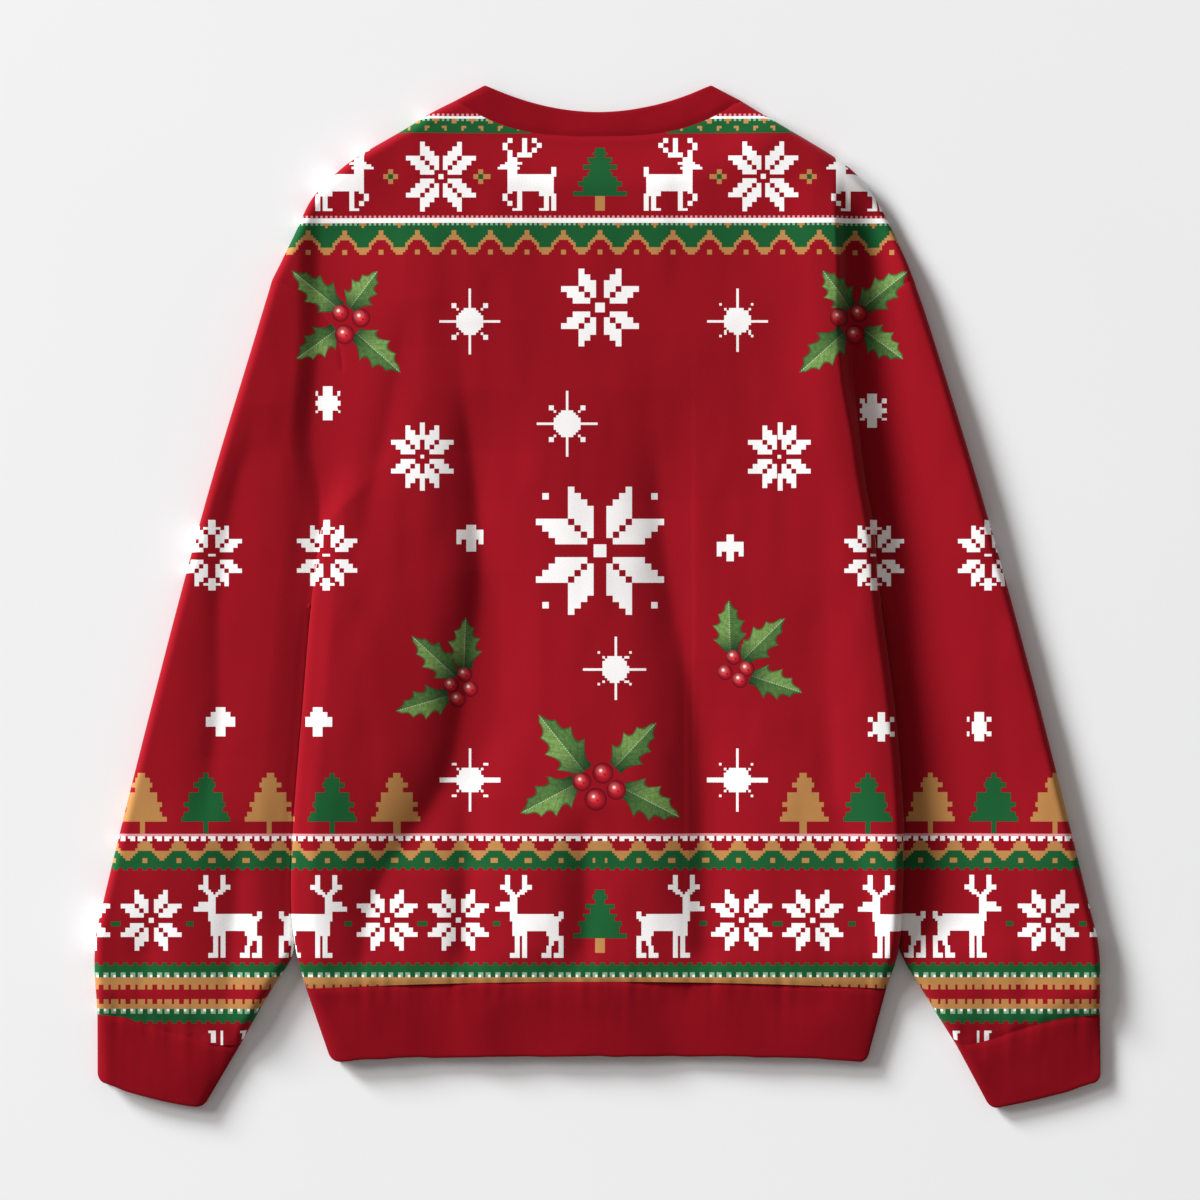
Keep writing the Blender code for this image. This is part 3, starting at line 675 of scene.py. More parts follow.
def loft(p, side):
    """Height of the upper cloth away from the valley and the edges."""
    inside = from_valley(p, side)
    crease = smooth((CREASE_TOP - p[:, 1]) / CREASE_FADE)
    past = inside - SIDE_ROUND[RIGHT]
    ridge = np.exp(-((past / np.where(past > 0, RIDGE_INNER, RIDGE_OUTER)) ** 2))
    sleeve = SLEEVE_LOFT[side]
    level = sleeve + (BODY_LOFT - sleeve) * smooth((inside + LOFT_FROM) / LOFT_FADE)
    level = level + SIDE_RIDGE[side] * crease * ridge - relief(p)
    above = np.logaddexp(0.0, FLOOR_SHARPNESS * (level - LOWEST)) / FLOOR_SHARPNESS
    near_neck = smooth(distance(p, neck_line(NECK_CORNER, BACK_NECK, 60)) / NECK_EASE)
    level = NECK_LOFT + (LOWEST + above - NECK_LOFT) * near_neck
    near_cuff = smooth(distance(p, CUFFS[side][:2]) / CUFF_GATHER)
    return CUFF_LOFT + (level - CUFF_LOFT) * near_cuff, inside, crease


def rounded(p, z, side):
    """Rounds the cloth down to the outer edge."""
    edge = edge_height(p[:, 1])
    away = distance(p, outer_edge(side))
    return edge + (z - edge) * quarter(away / EDGE_ROUND)


def lifted_edge(away):
    return 1 - quarter(away / UNDER_ROUND)


def sharp(y):
    """1 where the body's side edge is a rounded edge over the sleeve, 0 above that."""
    return smooth((ARMHOLE_TURN - y) / SHARP_FADE)


def rise_inside(inside, y, side):
    """How far the body's cloth has risen out of the valley."""
    inside = np.maximum(inside, 0.0)
    moved = moved_out(y, side)
    keen = sharp(y) * (1 - moved) ** 3
    over = inside / (SIDE_ROUND[side] + MOVED_ROUND * moved + SOFT_ROUND * (1 - sharp(y)))
    fold = quarter(over)
    if side < 0:
        fold = ROUND_SHARE * fold + SLOPE_SHARE * smooth(inside / SIDE_SLOPE)
    return (1 - keen) * smooth(over) + keen * fold


def upper_body(p, side):
    z, inside, crease = loft(p, side)
    y = p[:, 1]
    from_hem = y - hem_seam_y(p[:, 0])
    z = HEM_LOFT + (z - HEM_LOFT) * smooth(from_hem / HEM_GATHER)
    z = z + gathers(p[:, 0], np.maximum(from_hem, 0.0), BODY_SEED)
    rise = np.where(inside > 0, rise_inside(inside, y, side), sleeve_rise(-inside, y, side))
    deep = np.where(y > UNDERARM, valley(y, side, -inside), side_height(y))
    return rounded(p, z - crease * (z - np.minimum(z, deep)) * (1 - rise), side)


def upper_sleeve(p, side):
    z, inside, crease = loft(p, side)
    y = p[:, 1]
    z = z + gathers(p[:, 0] * side, distance(p, cuff_seam(side)), SLEEVE_SEED)
    low = VALLEY + (DEEP[side] - VALLEY) * opened(tucked(y), -inside)
    out = sleeve_rise(-inside, y, side)
    beside = z - crease * (z - low) * (1 - out) * (1 - FREE_SHARE * freed(y))
    hidden = low - (low - TUCK_HEIGHT) * np.minimum(inside / TUCK, 1.0)
    beside = np.where(inside > 0, hidden, beside)
    rise = np.where(inside > SEAM_GAP, rise_inside(inside, y, side), out)
    above = z - crease * (z - np.minimum(z, valley(y, side, -inside))) * (1 - rise)
    z = np.where(y > UNDERARM, above, beside)
    edge = inner_height(y)
    z = edge + (z - edge) * quarter(distance(p, inner_edge(side)) / inner_round(y))
    return rounded(p, z, side)


def lower_body(p, side):
    """The lower cloth, flat but for its side and its outer edge."""
    y = p[:, 1]
    lip = np.clip(1 - distance(p, side_edge(side)) / LIP, 0.0, 1.0)
    under = lifted_edge(distance(p, outer_edge(side)))
    return np.maximum(side_height(y) * lip, edge_height(y) * under)


def lower_sleeve(p, side):
    y = p[:, 1]
    tuck = 1 - quarter(distance(p, inner_edge(side)) / tuck_reach(y))
    under = edge_height(y) * lifted_edge(distance(p, outer_edge(side)))
    z = np.maximum(inner_height(y) * tuck, under)
    body = lower_body(p, side)
    own = smooth(distance(p, armhole(side)[0]) / ARMHOLE_BLEND)
    return np.where(y > UNDERARM, body + (z - body) * own, z)


# ---- From the flat cloth to where it lies ----

def bent(away, radius, share):
    """Distance in plan from a rounded edge, from the distance along the cloth."""
    wrap = WRAP * radius * share
    t = np.clip((away + wrap) / (radius + wrap), 0.0, 1.0)
    turned = radius * ((1 - share) * t + share * (1 - np.cos(t * np.pi / 2)))
    return np.where(away < radius, turned, away)


def pull_in(p, line, left, radius, share):
    """Moves points near a rounded edge from their place on the flat cloth to the plan."""
    away, normal = nearest(p, line)
    away, normal = left * away, left * normal
    return p + normal * (bent(away, radius, share) - away)[:, None]


def pushed_out(line, left, radius, share):
    """The line of the flat cloth that lies on a rounded edge."""
    run = np.gradient(line, axis=0)
    run /= np.linalg.norm(run, axis=1)[:, None]
    normal = left * np.stack([-run[:, 1], run[:, 0]], 1)
    return line - normal * (WRAP * radius * np.broadcast_to(share, len(line)))[:, None]


def body_plan(p, radius, sides_turn):
    """Places of points of the back's or the front's cloth in plan."""
    out = p.copy()
    for side in SIDES.values():
        half = np.flatnonzero(side * p[:, 0] >= 0)
        q = pull_in(out[half], outer_edge(side), -side, radius, 1.0)
        if sides_turn:
            edge = edge_x(q[:, 1], side)
            away = edge - side * q[:, 0]
            moved = side * (edge - bent(away, SIDE_ROUND[side], sharp(q[:, 1])))
            near = (q[:, 1] < ARMHOLE_TURN) & (away < SIDE_ROUND[side])
            q[:, 0] = np.where(near, moved, q[:, 0])
        out[half] = q
    return out


def sleeve_plan(p, side, radius, reach):
    """Places of points of a sleeve's cloth in plan."""
    q = pull_in(p, outer_edge(side), -side, radius, 1.0)
    low = q[:, 1] < UNDERARM
    y = q[low, 1]
    q[low] = pull_in(q[low], inner_edge(side), side, reach(y), tucked(y))
    return q


def body_outline(neck, radius, sides_turn):
    """Outline of the flat cloth of the back or the front, counterclockwise."""
    sides = []
    for side in SIDES.values():
        rise, bend = armhole(side)
        y = np.r_[np.linspace(HEM_SEAM, UNDERARM, 80, endpoint=False), rise[:, 1]]
        turn = WRAP * SIDE_ROUND[side] * sharp(y) if sides_turn else 0.0 * y
        low = np.stack([side * (edge_x(y, side) + turn), y], 1)
        shoulder = side_line(SHOULDER, side)
        out = pushed_out(shoulder, -side, radius, 1.0)
        sides.append(np.vstack([low, bend[1:], out[::-1]]))
    left, right = sides
    x = np.linspace(left[0, 0], right[0, 0], 160)[1:-1]
    hem = np.stack([x, hem_seam_y(x)], 1)
    crown = neck_line(NECK_CORNER, neck)[::-1]
    return np.vstack([hem, right, crown, left[::-1]])


def sleeve_outline(side, radius, reach):
    """Outline of one layer of a sleeve's flat cloth, counterclockwise."""
    rise, bend = armhole(side)
    outer = pushed_out(side_line(SLEEVE_OUTER, side), -side, radius, 1.0)
    inner = inner_edge(side)
    y = inner[:, 1]
    inner = pushed_out(inner, side, reach(y), tucked(y))
    seam = cuff_seam(side)[1:-1]
    line = np.vstack([outer, seam, inner[::-1], rise[1:], bend[1:]])
    return line if side < 0 else line[::-1]


# ---- Cells of the print inside an outline ----

SHARP_TURN = 0.4                    # sine of the least turn at a sharp corner


def sharp_corners(outline):
    ahead = np.roll(outline, -1, 0) - outline
    behind = outline - np.roll(outline, 1, 0)
    turn = ahead[:, 0] * behind[:, 1] - ahead[:, 1] * behind[:, 0]
    sizes = np.linalg.norm(ahead, axis=1) * np.linalg.norm(behind, axis=1)
    return outline[np.abs(turn) > SHARP_TURN * np.maximum(sizes, 1e-9)]


def cells_in(outline):
    """Points of the print's cells, those that meet the outline brought onto it, and faces."""
    keep = np.linalg.norm(outline - np.roll(outline, 1, 0), axis=1) > 1e-6
    outline = outline[keep]
    low = np.floor((outline.min(0) - (PRINT_X, 0.0)) / CELL).astype(int) - 1
    high = np.ceil((outline.max(0) - (PRINT_X, 0.0)) / CELL).astype(int) + 2
    columns = np.arange(low[0], high[0])
    rows = np.arange(low[1], high[1])
    xs = PRINT_X + CELL * columns
    ys = CELL * rows
    ends = np.roll(outline, -1, 0)
    inside = np.zeros((len(ys), len(xs)), bool)
    for i, y in enumerate(ys):
        crosses = (outline[:, 1] <= y) != (ends[:, 1] <= y)
        a, b = outline[crosses], ends[crosses]
        x = np.sort(a[:, 0] + (y - a[:, 1]) * (b[:, 0] - a[:, 0]) / (b[:, 1] - a[:, 1]))
        inside[i] = np.searchsorted(x, xs) % 2 == 1
    near = np.zeros_like(inside)
    for axis in (0, 1):
        differs = np.diff(inside, axis=axis)
        for side in ((0, 1), (1, 0)):
            near |= np.pad(differs, [side if k == axis else (0, 0) for k in (0, 1)])
    points = np.stack(np.meshgrid(xs, ys), -1)
    closed = np.vstack([outline, outline[:1]])
    some = points[near]
    away, normal = nearest(some, closed)
    meets = np.abs(away) <= 0.5001 * CELL
    on = np.zeros_like(inside)
    on[near] = meets
    some[meets] -= normal[meets] * away[meets, None]
    points[near] = some
    for corner in sharp_corners(outline):
        j = int(round((corner[0] - PRINT_X) / CELL)) - columns[0]
        i = int(round(corner[1] / CELL)) - rows[0]
        points[i, j] = corner
        on[i, j] = True
    state = np.where(on, 1, np.where(inside, 2, 0))
    index = np.arange(state.size).reshape(state.shape)
    corners = np.stack([index[:-1, :-1], index[:-1, 1:], index[1:, 1:], index[1:, :-1]], -1)
    corners = corners.reshape(-1, 4)
    states = state.reshape(-1)[corners]
    centre = np.stack(np.meshgrid(xs[:-1] + CELL / 2, ys[:-1] + CELL / 2), -1).reshape(-1, 2)
    held = (states > 0).sum(1)
    whole = (held == 4) & ((states == 1).sum(1) < 4)
    faces = [tuple(c) for c in corners[whole]]
    centres = [centre[whole]]
    part = (held == 3) & ((states == 1).sum(1) < 3)
    faces += [tuple(k for k, s in zip(c, m) if s) for c, m in zip(corners[part], states[part])]
    centres.append(centre[part])
    used = np.unique(np.concatenate([np.ravel(f) for f in faces]))
    new = np.full(state.size, -1)
    new[used] = np.arange(len(used))
    faces = [tuple(int(new[k]) for k in f) for f in faces]
    grid = np.stack(np.meshgrid(columns, rows), -1).reshape(-1, 2)[used]
    return points.reshape(-1, 2)[used], faces, np.vstack(centres), grid


def loops_of(faces):
    """Closed runs of the edges that only one face has."""
    ahead = {}
    seen = set()
    for face in faces:
        for a, b in zip(face, face[1:] + face[:1]):
            seen.add((a, b))
    for a, b in seen:
        if (b, a) not in seen:
            ahead.setdefault(a, []).append(b)
    loops = []
    while ahead:
        start = next(iter(ahead))
        loop = [start]
        while True:
            here = loop[-1]
            following = ahead[here].pop()
            if not ahead[here]:
                del ahead[here]
            if following == start:
                break
            loop.append(following)
        loops.append(loop)
    return sorted(loops, key=len, reverse=True)


def normals_of(points, faces):
    """Unit normals at points of a surface of triangles and quads."""
    total = np.zeros_like(points)
    for size in (3, 4):
        some = np.array([f for f in faces if len(f) == size], int).reshape(-1, size)
        corners = points[some]
        if size == 3:
            face_normals = np.cross(corners[:, 1] - corners[:, 0], corners[:, 2] - corners[:, 0])
        else:
            face_normals = np.cross(corners[:, 2] - corners[:, 0], corners[:, 3] - corners[:, 1])
        for k in range(size):
            np.add.at(total, some[:, k], face_normals)
    return total / np.maximum(np.linalg.norm(total, axis=1), 1e-12)[:, None]


def shell(flat, faces, grid, lie, upper):
    """A wall of cloth: its outer cells, its coarser inner side and its rim."""
    points = lie(flat)
    if not upper:
        faces = [f[::-1] for f in faces]
    normals = normals_of(points, faces)
    loop = loops_of(faces)[0]
    coarse = (grid % COARSE == 0).all(1)
    coarse[loop] = False
    some = np.flatnonzero(coarse)
    clear = distance(flat[some], flat[loop + loop[:1]]) > 0.35 * COARSE * CELL
    inner = list(loop) + list(some[clear])
    count = len(loop)
    edges = [(k, (k + 1) % count) for k in range(count)]
    made = delaunay_2d_cdt([Vector(flat[k]) for k in inner], edges, [], 1, 1e-5)
    triangles = [tuple(made[3][k][0] for k in f) for f in made[2] if all(made[3][k] for k in f)]
    first = len(points)
    under = points[inner] - FLEECE * normals[inner]
    under[:, 2] = np.maximum(under[:, 2], LOWEST_INSIDE)
    turned = []
    for a, b, c in (t for t in triangles if len(set(t)) == 3):
        pa, pb, pc = (flat[inner[k]] for k in (a, b, c))
        left = (pb[0] - pa[0]) * (pc[1] - pa[1]) - (pb[1] - pa[1]) * (pc[0] - pa[0])
        t = (a, b, c) if (left > 0) != upper else (a, c, b)
        turned.append(tuple(first + k for k in t))
    rims = [(loop[m], loop[k], first + k, first + m) for k, m in edges]
    return np.vstack([points, under]), inner, turned, rims, faces


# ---- The print ----

# Its rows and columns of cells count from the middle of the plan. Places in the layout,
# and sizes beside them, are in the layout's units.

FIELD, WHITE, GREEN, GOLD, PALE, INSIDE, PINK = range(7)
PALETTE = (
    srgb(148, 17, 30),
    srgb(249, 247, 246),
    srgb(27, 90, 48),
    srgb(182, 130, 76),
    srgb(140, 172, 146),
    srgb(206, 200, 198),
    srgb(222, 150, 156),
)
INKS = len(PALETTE)
MIDDLE_X = 600                      # middle line of the layout
HEARTS = 8.9 * UNIT                 # spacing of hearts, dots and teeth
SPOTS = 18.2 * UNIT                 # of the gold spots in the top band
ZIGZAG_CELLS = 15                   # cells from peak to peak
SCALLOPS = 24.05
SCALLOP_SHIFTS = 3.7, 255.0         # of the scallops on the body and on the sleeves
ZIGZAG = (                          # at each cell from the peak: end of the green, of the gold
    (3, 7), (5, 7), (6, 8), (7, 9), (8, 11), (10, 12), (10, 13), (10, 13))
SCALLOP = (                         # at each cell from the peak: start and end of the gold
    (0, 4), (0, 4), (1, 4), (3, 5), (4, 6), (4, 7), (4, 8))
TREE = (                            # half width of each tier and its rows, from the top
    (1.3, 2), (3, 2), (4.6, 2), (3, 2), (6.7, 4), (8.4, 2), (7, 2), (8.8, 2), (10, 2))
MIDDLE_TREE = (
    (1.6, 2), (3.5, 2), (2, 2), (5.5, 2), (3.7, 2), (7, 1), (5.6, 2), (9, 2), (7.5, 3), (10.8, 2))
TOP_TREE = ((2, 2), (3.5, 1), (1.9, 1), (5.2, 2), (3.8, 1), (6.7, 2), (3.8, 1), (5.4, 2),
            (7, 2), (8.7, 2), (7, 2), (10.8, 2))
HIGH_DEER = (                       # first row, end row, first column, end column
    (0, 2, 4, 6), (2, 5, 2, 4), (5, 8, 4, 6), (0, 6, 10, 12), (6, 8, 8, 14), (0, 2, 14, 16),
    (2, 4, 16, 18), (4, 6, 14, 16), (8, 15, 4, 8), (10, 11, 8, 10), (12, 13, 8, 9),
    (10, 11, 3, 4), (11, 12, 1, 4), (12, 13, 0, 4), (15, 22, 4, 22), (12, 16, 22, 24),
    (15, 22, 22, 23), (22, 29, 8, 10), (29, 30, 6, 10), (22, 23, 4, 6), (23, 26, 2, 4),
    (26, 28, 4, 6), (22, 24, 17, 23), (24, 30, 19, 21), (29, 30, 17, 21), (23, 30, 22, 24),
)
LOW_DEER = (
    (0, 6, 4, 6), (4, 6, 2, 4), (6, 7, 4, 7), (7, 8, 5, 8), (8, 9, 6, 9), (0, 6, 11, 13),
    (4, 6, 13, 15), (6, 7, 10, 13), (7, 8, 9, 12), (8, 9, 8, 10), (9, 16, 6, 9),
    (11, 13, 2, 6), (13, 15, 0, 6), (16, 17, 6, 24), (17, 19, 6, 26), (19, 23, 7, 26),
    (23, 25, 7, 13), (25, 34, 8, 10), (32, 34, 6, 10), (25, 34, 11, 13), (23, 25, 21, 26),
    (25, 29, 22, 24), (29, 32, 21, 23), (32, 34, 19, 23), (25, 27, 24, 27), (25, 34, 26, 28),
    (32, 34, 24, 28), (15, 18, 26, 28), (17, 19, 25, 27),
)
HIGH_HERD = ((345, True), (527, False), (672, True), (855, False))      # x, faces right
LOW_HERD = ((228, False), (312, True), (530, False), (670, True), (891, False), (968, True))
SIDE_STARS = ((212, 556), (327.3, 555.7), (874, 556), (988, 556))
FIELD_STARS = ((422.5, 456.8), (779, 457))
ROW_STARS = tuple((x, 920) for x in (80.3, 151.7, 387.3, 458.4, 741.6, 812.5, 1048, 1119.7))
STARS = (                           # gap, unit, petals, length, centre, corner dots' step, places
    (6.4, 6.4, 4, 5, 6.4, 7, ((600, 550.8),)),
    (4.0, 5.8, 3, 3, 4.8, -9, ((600, 308),)),
    (2.0, 4.7, 4, 3, 2.5, -9, ((441.2, 177.3), (763, 177))),
    (3.8, 4.4, 3, 3, 0.0, -9, SIDE_STARS),
    (2.4, 4.8, 3, 3, 1.8, -9, FIELD_STARS),
    (2.8, 4.6, 3, 3, 2.5, -9, ROW_STARS),
)
SPARKLES = ((470, 321.6), (737, 321), (567, 424), (615, 669), (470, 780), (737, 780))
SPARKLE_DISC = 13.4
TREES = ((142, GOLD), (206, GREEN), (270, GOLD), (333, GREEN), (397, GOLD),
         (803, GOLD), (867, GREEN), (931, GOLD), (994, GREEN), (1055, GOLD))
DASHES = (116, 190, 349, 423, 497, 703.6, 777.7, 851, 1010, 1083)
CUT_OFF_LEGS = (                    # from the middle line, y, half width, half height
    (388.2, 1031, 3.7, 1.6), (386.5, 1037, 1.9, 6), (377.7, 1038.5, 2, 7.5),
    (356.5, 1032, 4, 2), (354.6, 1037.5, 1.9, 3.5))


def mirrored(row, columns):
    """A table's row with these columns, which are x, on the other side of the middle."""
    return tuple(2 * MIDDLE_X - v if k in columns else v for k, v in enumerate(row))


TOP_LEAVES = (                      # tip, base, half width
    (292, 271, 339, 309, 13.5), (378, 271, 350, 308, 13), (401, 373, 356, 333, 14),
    (296.5, 359.4, 336, 330, 13))
LEAVES = (*TOP_LEAVES, *(mirrored(row, (0, 2)) for row in TOP_LEAVES),
          (411.6, 635.7, 455.5, 676.5, 13), (465.7, 617.3, 463.7, 668.4, 14),
          (395.9, 711.2, 448.4, 695.9, 13.5),
          (785.1, 617.7, 742.7, 659.6, 13.5), (728.6, 599.8, 730.2, 651.6, 14),
          (802.5, 692.7, 750.7, 675.7, 13.5),
          (538.2, 714.3, 584, 771.4, 16.5), (656.5, 722.4, 614.7, 767.3, 14.5),
          (520.4, 813.3, 576, 783.7, 16), (680, 817.3, 622.9, 787.8, 16))
LEAF_WIDER = 1.18
TOP_BERRIES = ((340.6, 313.3, 8), (361.2, 318.2, 8.7), (344.7, 334.6, 9.2))
BERRIES = (*TOP_BERRIES, *(mirrored(row, (0,)) for row in TOP_BERRIES),   # x, y, radius
           (464.7, 674.5, 7), (451.4, 685.3, 7), (470.4, 689.2, 7.3), (458, 699.4, 7.3),
           (733.8, 657.4, 7), (746.7, 669, 7.2), (725.3, 672.6, 7), (740, 680.2, 7.2),
           (602.9, 773, 9.8), (582, 781.6, 8.8), (616.3, 789.8, 9.2), (595.7, 799, 10.6))
BERRY_LARGER = 1.07
PLAIN = {                           # what cells hold that are in no figure
    "star_at": (0, 0, 0), "star_size": (0, 1, 0), "star_dots": (0, 0, 0),
    "leaf_at": (0, 0, 0), "leaf_size": (1, -1, 0), "berry_at": (0, 0, 0),
}


def plan(x, y):
    """A place of the print's layout in plan."""
    return np.array(((x - LAYOUT[0]) * UNIT, (LAYOUT[1] - y) * UNIT))


class Print:
    """Inks of cells of the print, painted one motif at a time."""

    def __init__(self, centres):
        self.x = (centres[:, 0] / UNIT) + LAYOUT[0]
        self.y = LAYOUT[1] - (centres[:, 1] / UNIT)
        self.row = np.floor(centres[:, 1] / CELL + 1e-6).astype(int)
        column = np.floor((centres[:, 0] - PRINT_X) / CELL + 1e-6).astype(int)
        self.odd = column % 2 == 1
        self.toothed = column % 4 < 2
        self.off = np.abs(centres[:, 0] - PRINT_X)
        self.on_body = np.abs(centres[:, 0]) < edge_x(centres[:, 1], RIGHT)
        self.ink = np.full(len(centres), FIELD)

    def fill(self, mask, ink=WHITE):
        self.ink[mask] = ink

    def rows(self, first, last=None):
        low, high = sorted((first, first if last is None else last))
        return (self.row >= low) & (self.row <= high)

    def box(self, x, y, half_x, half_y, ink=WHITE):
        self.fill((np.abs(self.x - x) <= half_x) & (np.abs(self.y - y) <= half_y), ink)

    def boxes(self, x, y, off_x, off_y, half_x, half_y, ink=WHITE):
        """Boxes on each side of a place, and above and below it."""
        for sx in (-1, 1):
            for sy in (-1, 1):
                self.box(x + sx * off_x, y + sy * off_y, half_x, half_y, ink)

    def every(self, period, width, shift=0.5):
        """Cells within half a width of places a period apart, counted from the middle."""
        t = self.off / period - shift
        return np.abs(t - np.round(t)) * period <= width / 2

    def from_peak(self, period, shift=0.0):
        t = (self.off - shift) / period
        return np.abs(t - np.round(t)) * period

    def steps(self, table, from_peak):
        """Two columns of a table at each cell from the peak."""
        step = np.minimum((from_peak / CELL).astype(int), len(table) - 1)
        return np.array(table)[step].T

    def chart(self, rectangles, x, top, width, turned):
        column = (self.x - x) * UNIT / CELL + width / 2
        column = width - column if turned else column
        row = (self.y - top) * UNIT / CELL
        for low, high, first, last in rectangles:
            self.fill((row >= low) & (row < high) & (column >= first) & (column < last))

    def tree(self, tiers, x, top, ink):
        row = (self.y - top) * UNIT / CELL
        low = 0
        for half, count in tiers:
            wide = np.abs(self.x - x) * UNIT / CELL <= half
            self.fill((row >= low) & (row < low + count) & wide, ink)
            low += count

    def top_bands(self):
        fill, rows = self.fill, self.rows
        fill(rows(191, 196), GREEN)
        fill(rows(197))
        fill(rows(198) & self.odd, PINK)
        fill(rows(196) & self.odd, PALE)
        fill(rows(196) & self.every(SPOTS, 4.4, 0.0), GOLD)
        fill(rows(195) & self.every(SPOTS, 3.0, 0.0), GOLD)
        fill(rows(193) & self.every(SPOTS, 3.0), GOLD)
        fill(rows(192) & self.every(SPOTS, 1.8), GOLD)
        fill(rows(156) & self.odd, PINK)
        fill(rows(154, 155))
        period = ZIGZAG_CELLS * CELL
        from_peak = self.from_peak(period)
        depth = 153 - self.row
        top, bottom = self.steps(ZIGZAG, from_peak)
        fill((depth >= 0) & (depth < top), GREEN)
        fill((depth >= top) & (depth < bottom), GOLD)
        fill((depth == 0) & self.odd, PALE)
        fill((depth == 0) & (from_peak > period / 2 - CELL * 1.1), GOLD)
        fill((depth == 1) & (from_peak > period / 2 - CELL * 0.6), GOLD)
        fill(rows(141, 142) & (from_peak < CELL * 1.1), GOLD)

    def top_figures(self):
        for x, turned in HIGH_HERD:
            self.chart(HIGH_DEER, x, 138.6, 24, turned)
        self.tree(TOP_TREE, MIDDLE_X, 148.4, GREEN)
        self.box(MIDDLE_X, 204.6, 4.9, 7, GOLD)
        for x in (391, 482, 718, 808):
            for off_x, off_y in ((-5, 0), (5, 0), (0, -5), (0, 5)):
                self.box(x + off_x, 177 + off_y, 2.5, 2.5, GOLD)
            self.box(x, 177, 2.5, 2.5, GREEN)

    def small_figures(self):
        box, boxes = self.box, self.boxes
        for x, y in SPARKLES:
            box(x, y, 31, 1.3)
            box(x, y, 1.3, 32)
            self.fill(np.hypot(self.x - x, self.y - y) < SPARKLE_DISC)
            boxes(x, y, 11.7, 11.7, 1.5, 1.5)
            boxes(x, y, 15.8, 15.8, 1.5, 1.5)
        for x, y in ((327.5, 403), (873, 410)):
            for half_x, half_y in ((4.5, 16.5), (13, 3), (9.5, 7.5)):
                box(x, y, half_x, half_y)
            boxes(x, y, 11, 9, 2, 2)
        for x, y in ((470.2, 537.3), (730, 548.8)):
            box(x, y, 4.65, 13.2)
            box(x, y - 2, 13.9, 4.9)
            boxes(x, y + 5, 11.4, 0, 2.5, 2.5)
        for x in (220.9, 318.8):
            for y, half_x, half_y in (
                    (709.2, 4.45, 2.4), (714, 8.8, 2.4), (721, 13.5, 4.8), (731, 4.45, 4.9)):
                box(x, y, half_x, half_y)
        for x in (881, 979):
            box(x, 727, 4, 14.5)
            box(x, 727.5, 8.3, 6)
            boxes(x, 726.5, 10.8, 7, 2.4, 2.4)
        for x, y in SIDE_STARS:
            box(x, y, 3.75, 1.5)
            boxes(x, y, 0, 28.8, 3.75, 6.8)
            boxes(x, y, 0, 28.3, 8, 1.3)
        for x, y in FIELD_STARS:
            boxes(x, y, 0, 25.7, 2.4, 8.7)

    def scallops(self):
        fill, rows = self.fill, self.rows
        for x, ink in TREES:
            self.tree(TREE, x, 773, ink)
            self.box(x, 827.5, 2.5, 6.2, ink)
        fill(rows(-98), PINK)
        fill(rows(-99) & self.every(HEARTS, 4.8))
        fill(rows(-100) & self.every(HEARTS, 3.4))
        from_peak = self.from_peak(SCALLOPS, np.where(self.on_body, *SCALLOP_SHIFTS))
        middle = self.on_body & (self.off < SCALLOP_SHIFTS[0])
        depth = -101 - self.row
        top, bottom = self.steps(SCALLOP, np.where(middle, 0.0, from_peak))
        fill((depth >= top) & (depth < bottom), GOLD)
        fill((depth >= bottom) & (depth <= 10), GREEN)
        fill((depth == 11) & self.toothed, GREEN)
        fill((depth >= 7) & (depth <= 8) & (from_peak < CELL * 1.3) & ~middle, GOLD)

    def low_figures(self):
        for x, turned in LOW_HERD:
            self.chart(LOW_DEER, x, 875.6, 28, turned)
        self.tree(MIDDLE_TREE, MIDDLE_X, 890.2, GREEN)
        self.box(MIDDLE_X, 946.3, 4.9, 7.3, GOLD)
        for x in DASHES:
            self.box(x, 923.6, 4.2, 2, GREEN)

    def low_bands(self):
        fill, rows = self.fill, self.rows
        for first, up, gold in ((-156, 1, 3), (-170, -1, 2)):
            fill(rows(first, first + 4 * up) | rows(first + 5 * up) & self.toothed, GREEN)
            fill(rows(first, first + up) & self.every(HEARTS, 3.5), PALE)
            fill(rows(first) & self.every(HEARTS, 1.8))
            last = first - gold * up
            teeth = rows(last - up, last - 2 * up) & self.every(HEARTS, 4.3)
            fill(rows(first - up, last) | teeth, GOLD)
        for off, y, half_x, half_y in CUT_OFF_LEGS:
            self.boxes(MIDDLE_X, y, off, 0, half_x, half_y)

    def paint(self):
        self.top_bands()
        self.top_figures()
        self.small_figures()
        self.scallops()
        self.low_figures()
        self.low_bands()
        return self.ink


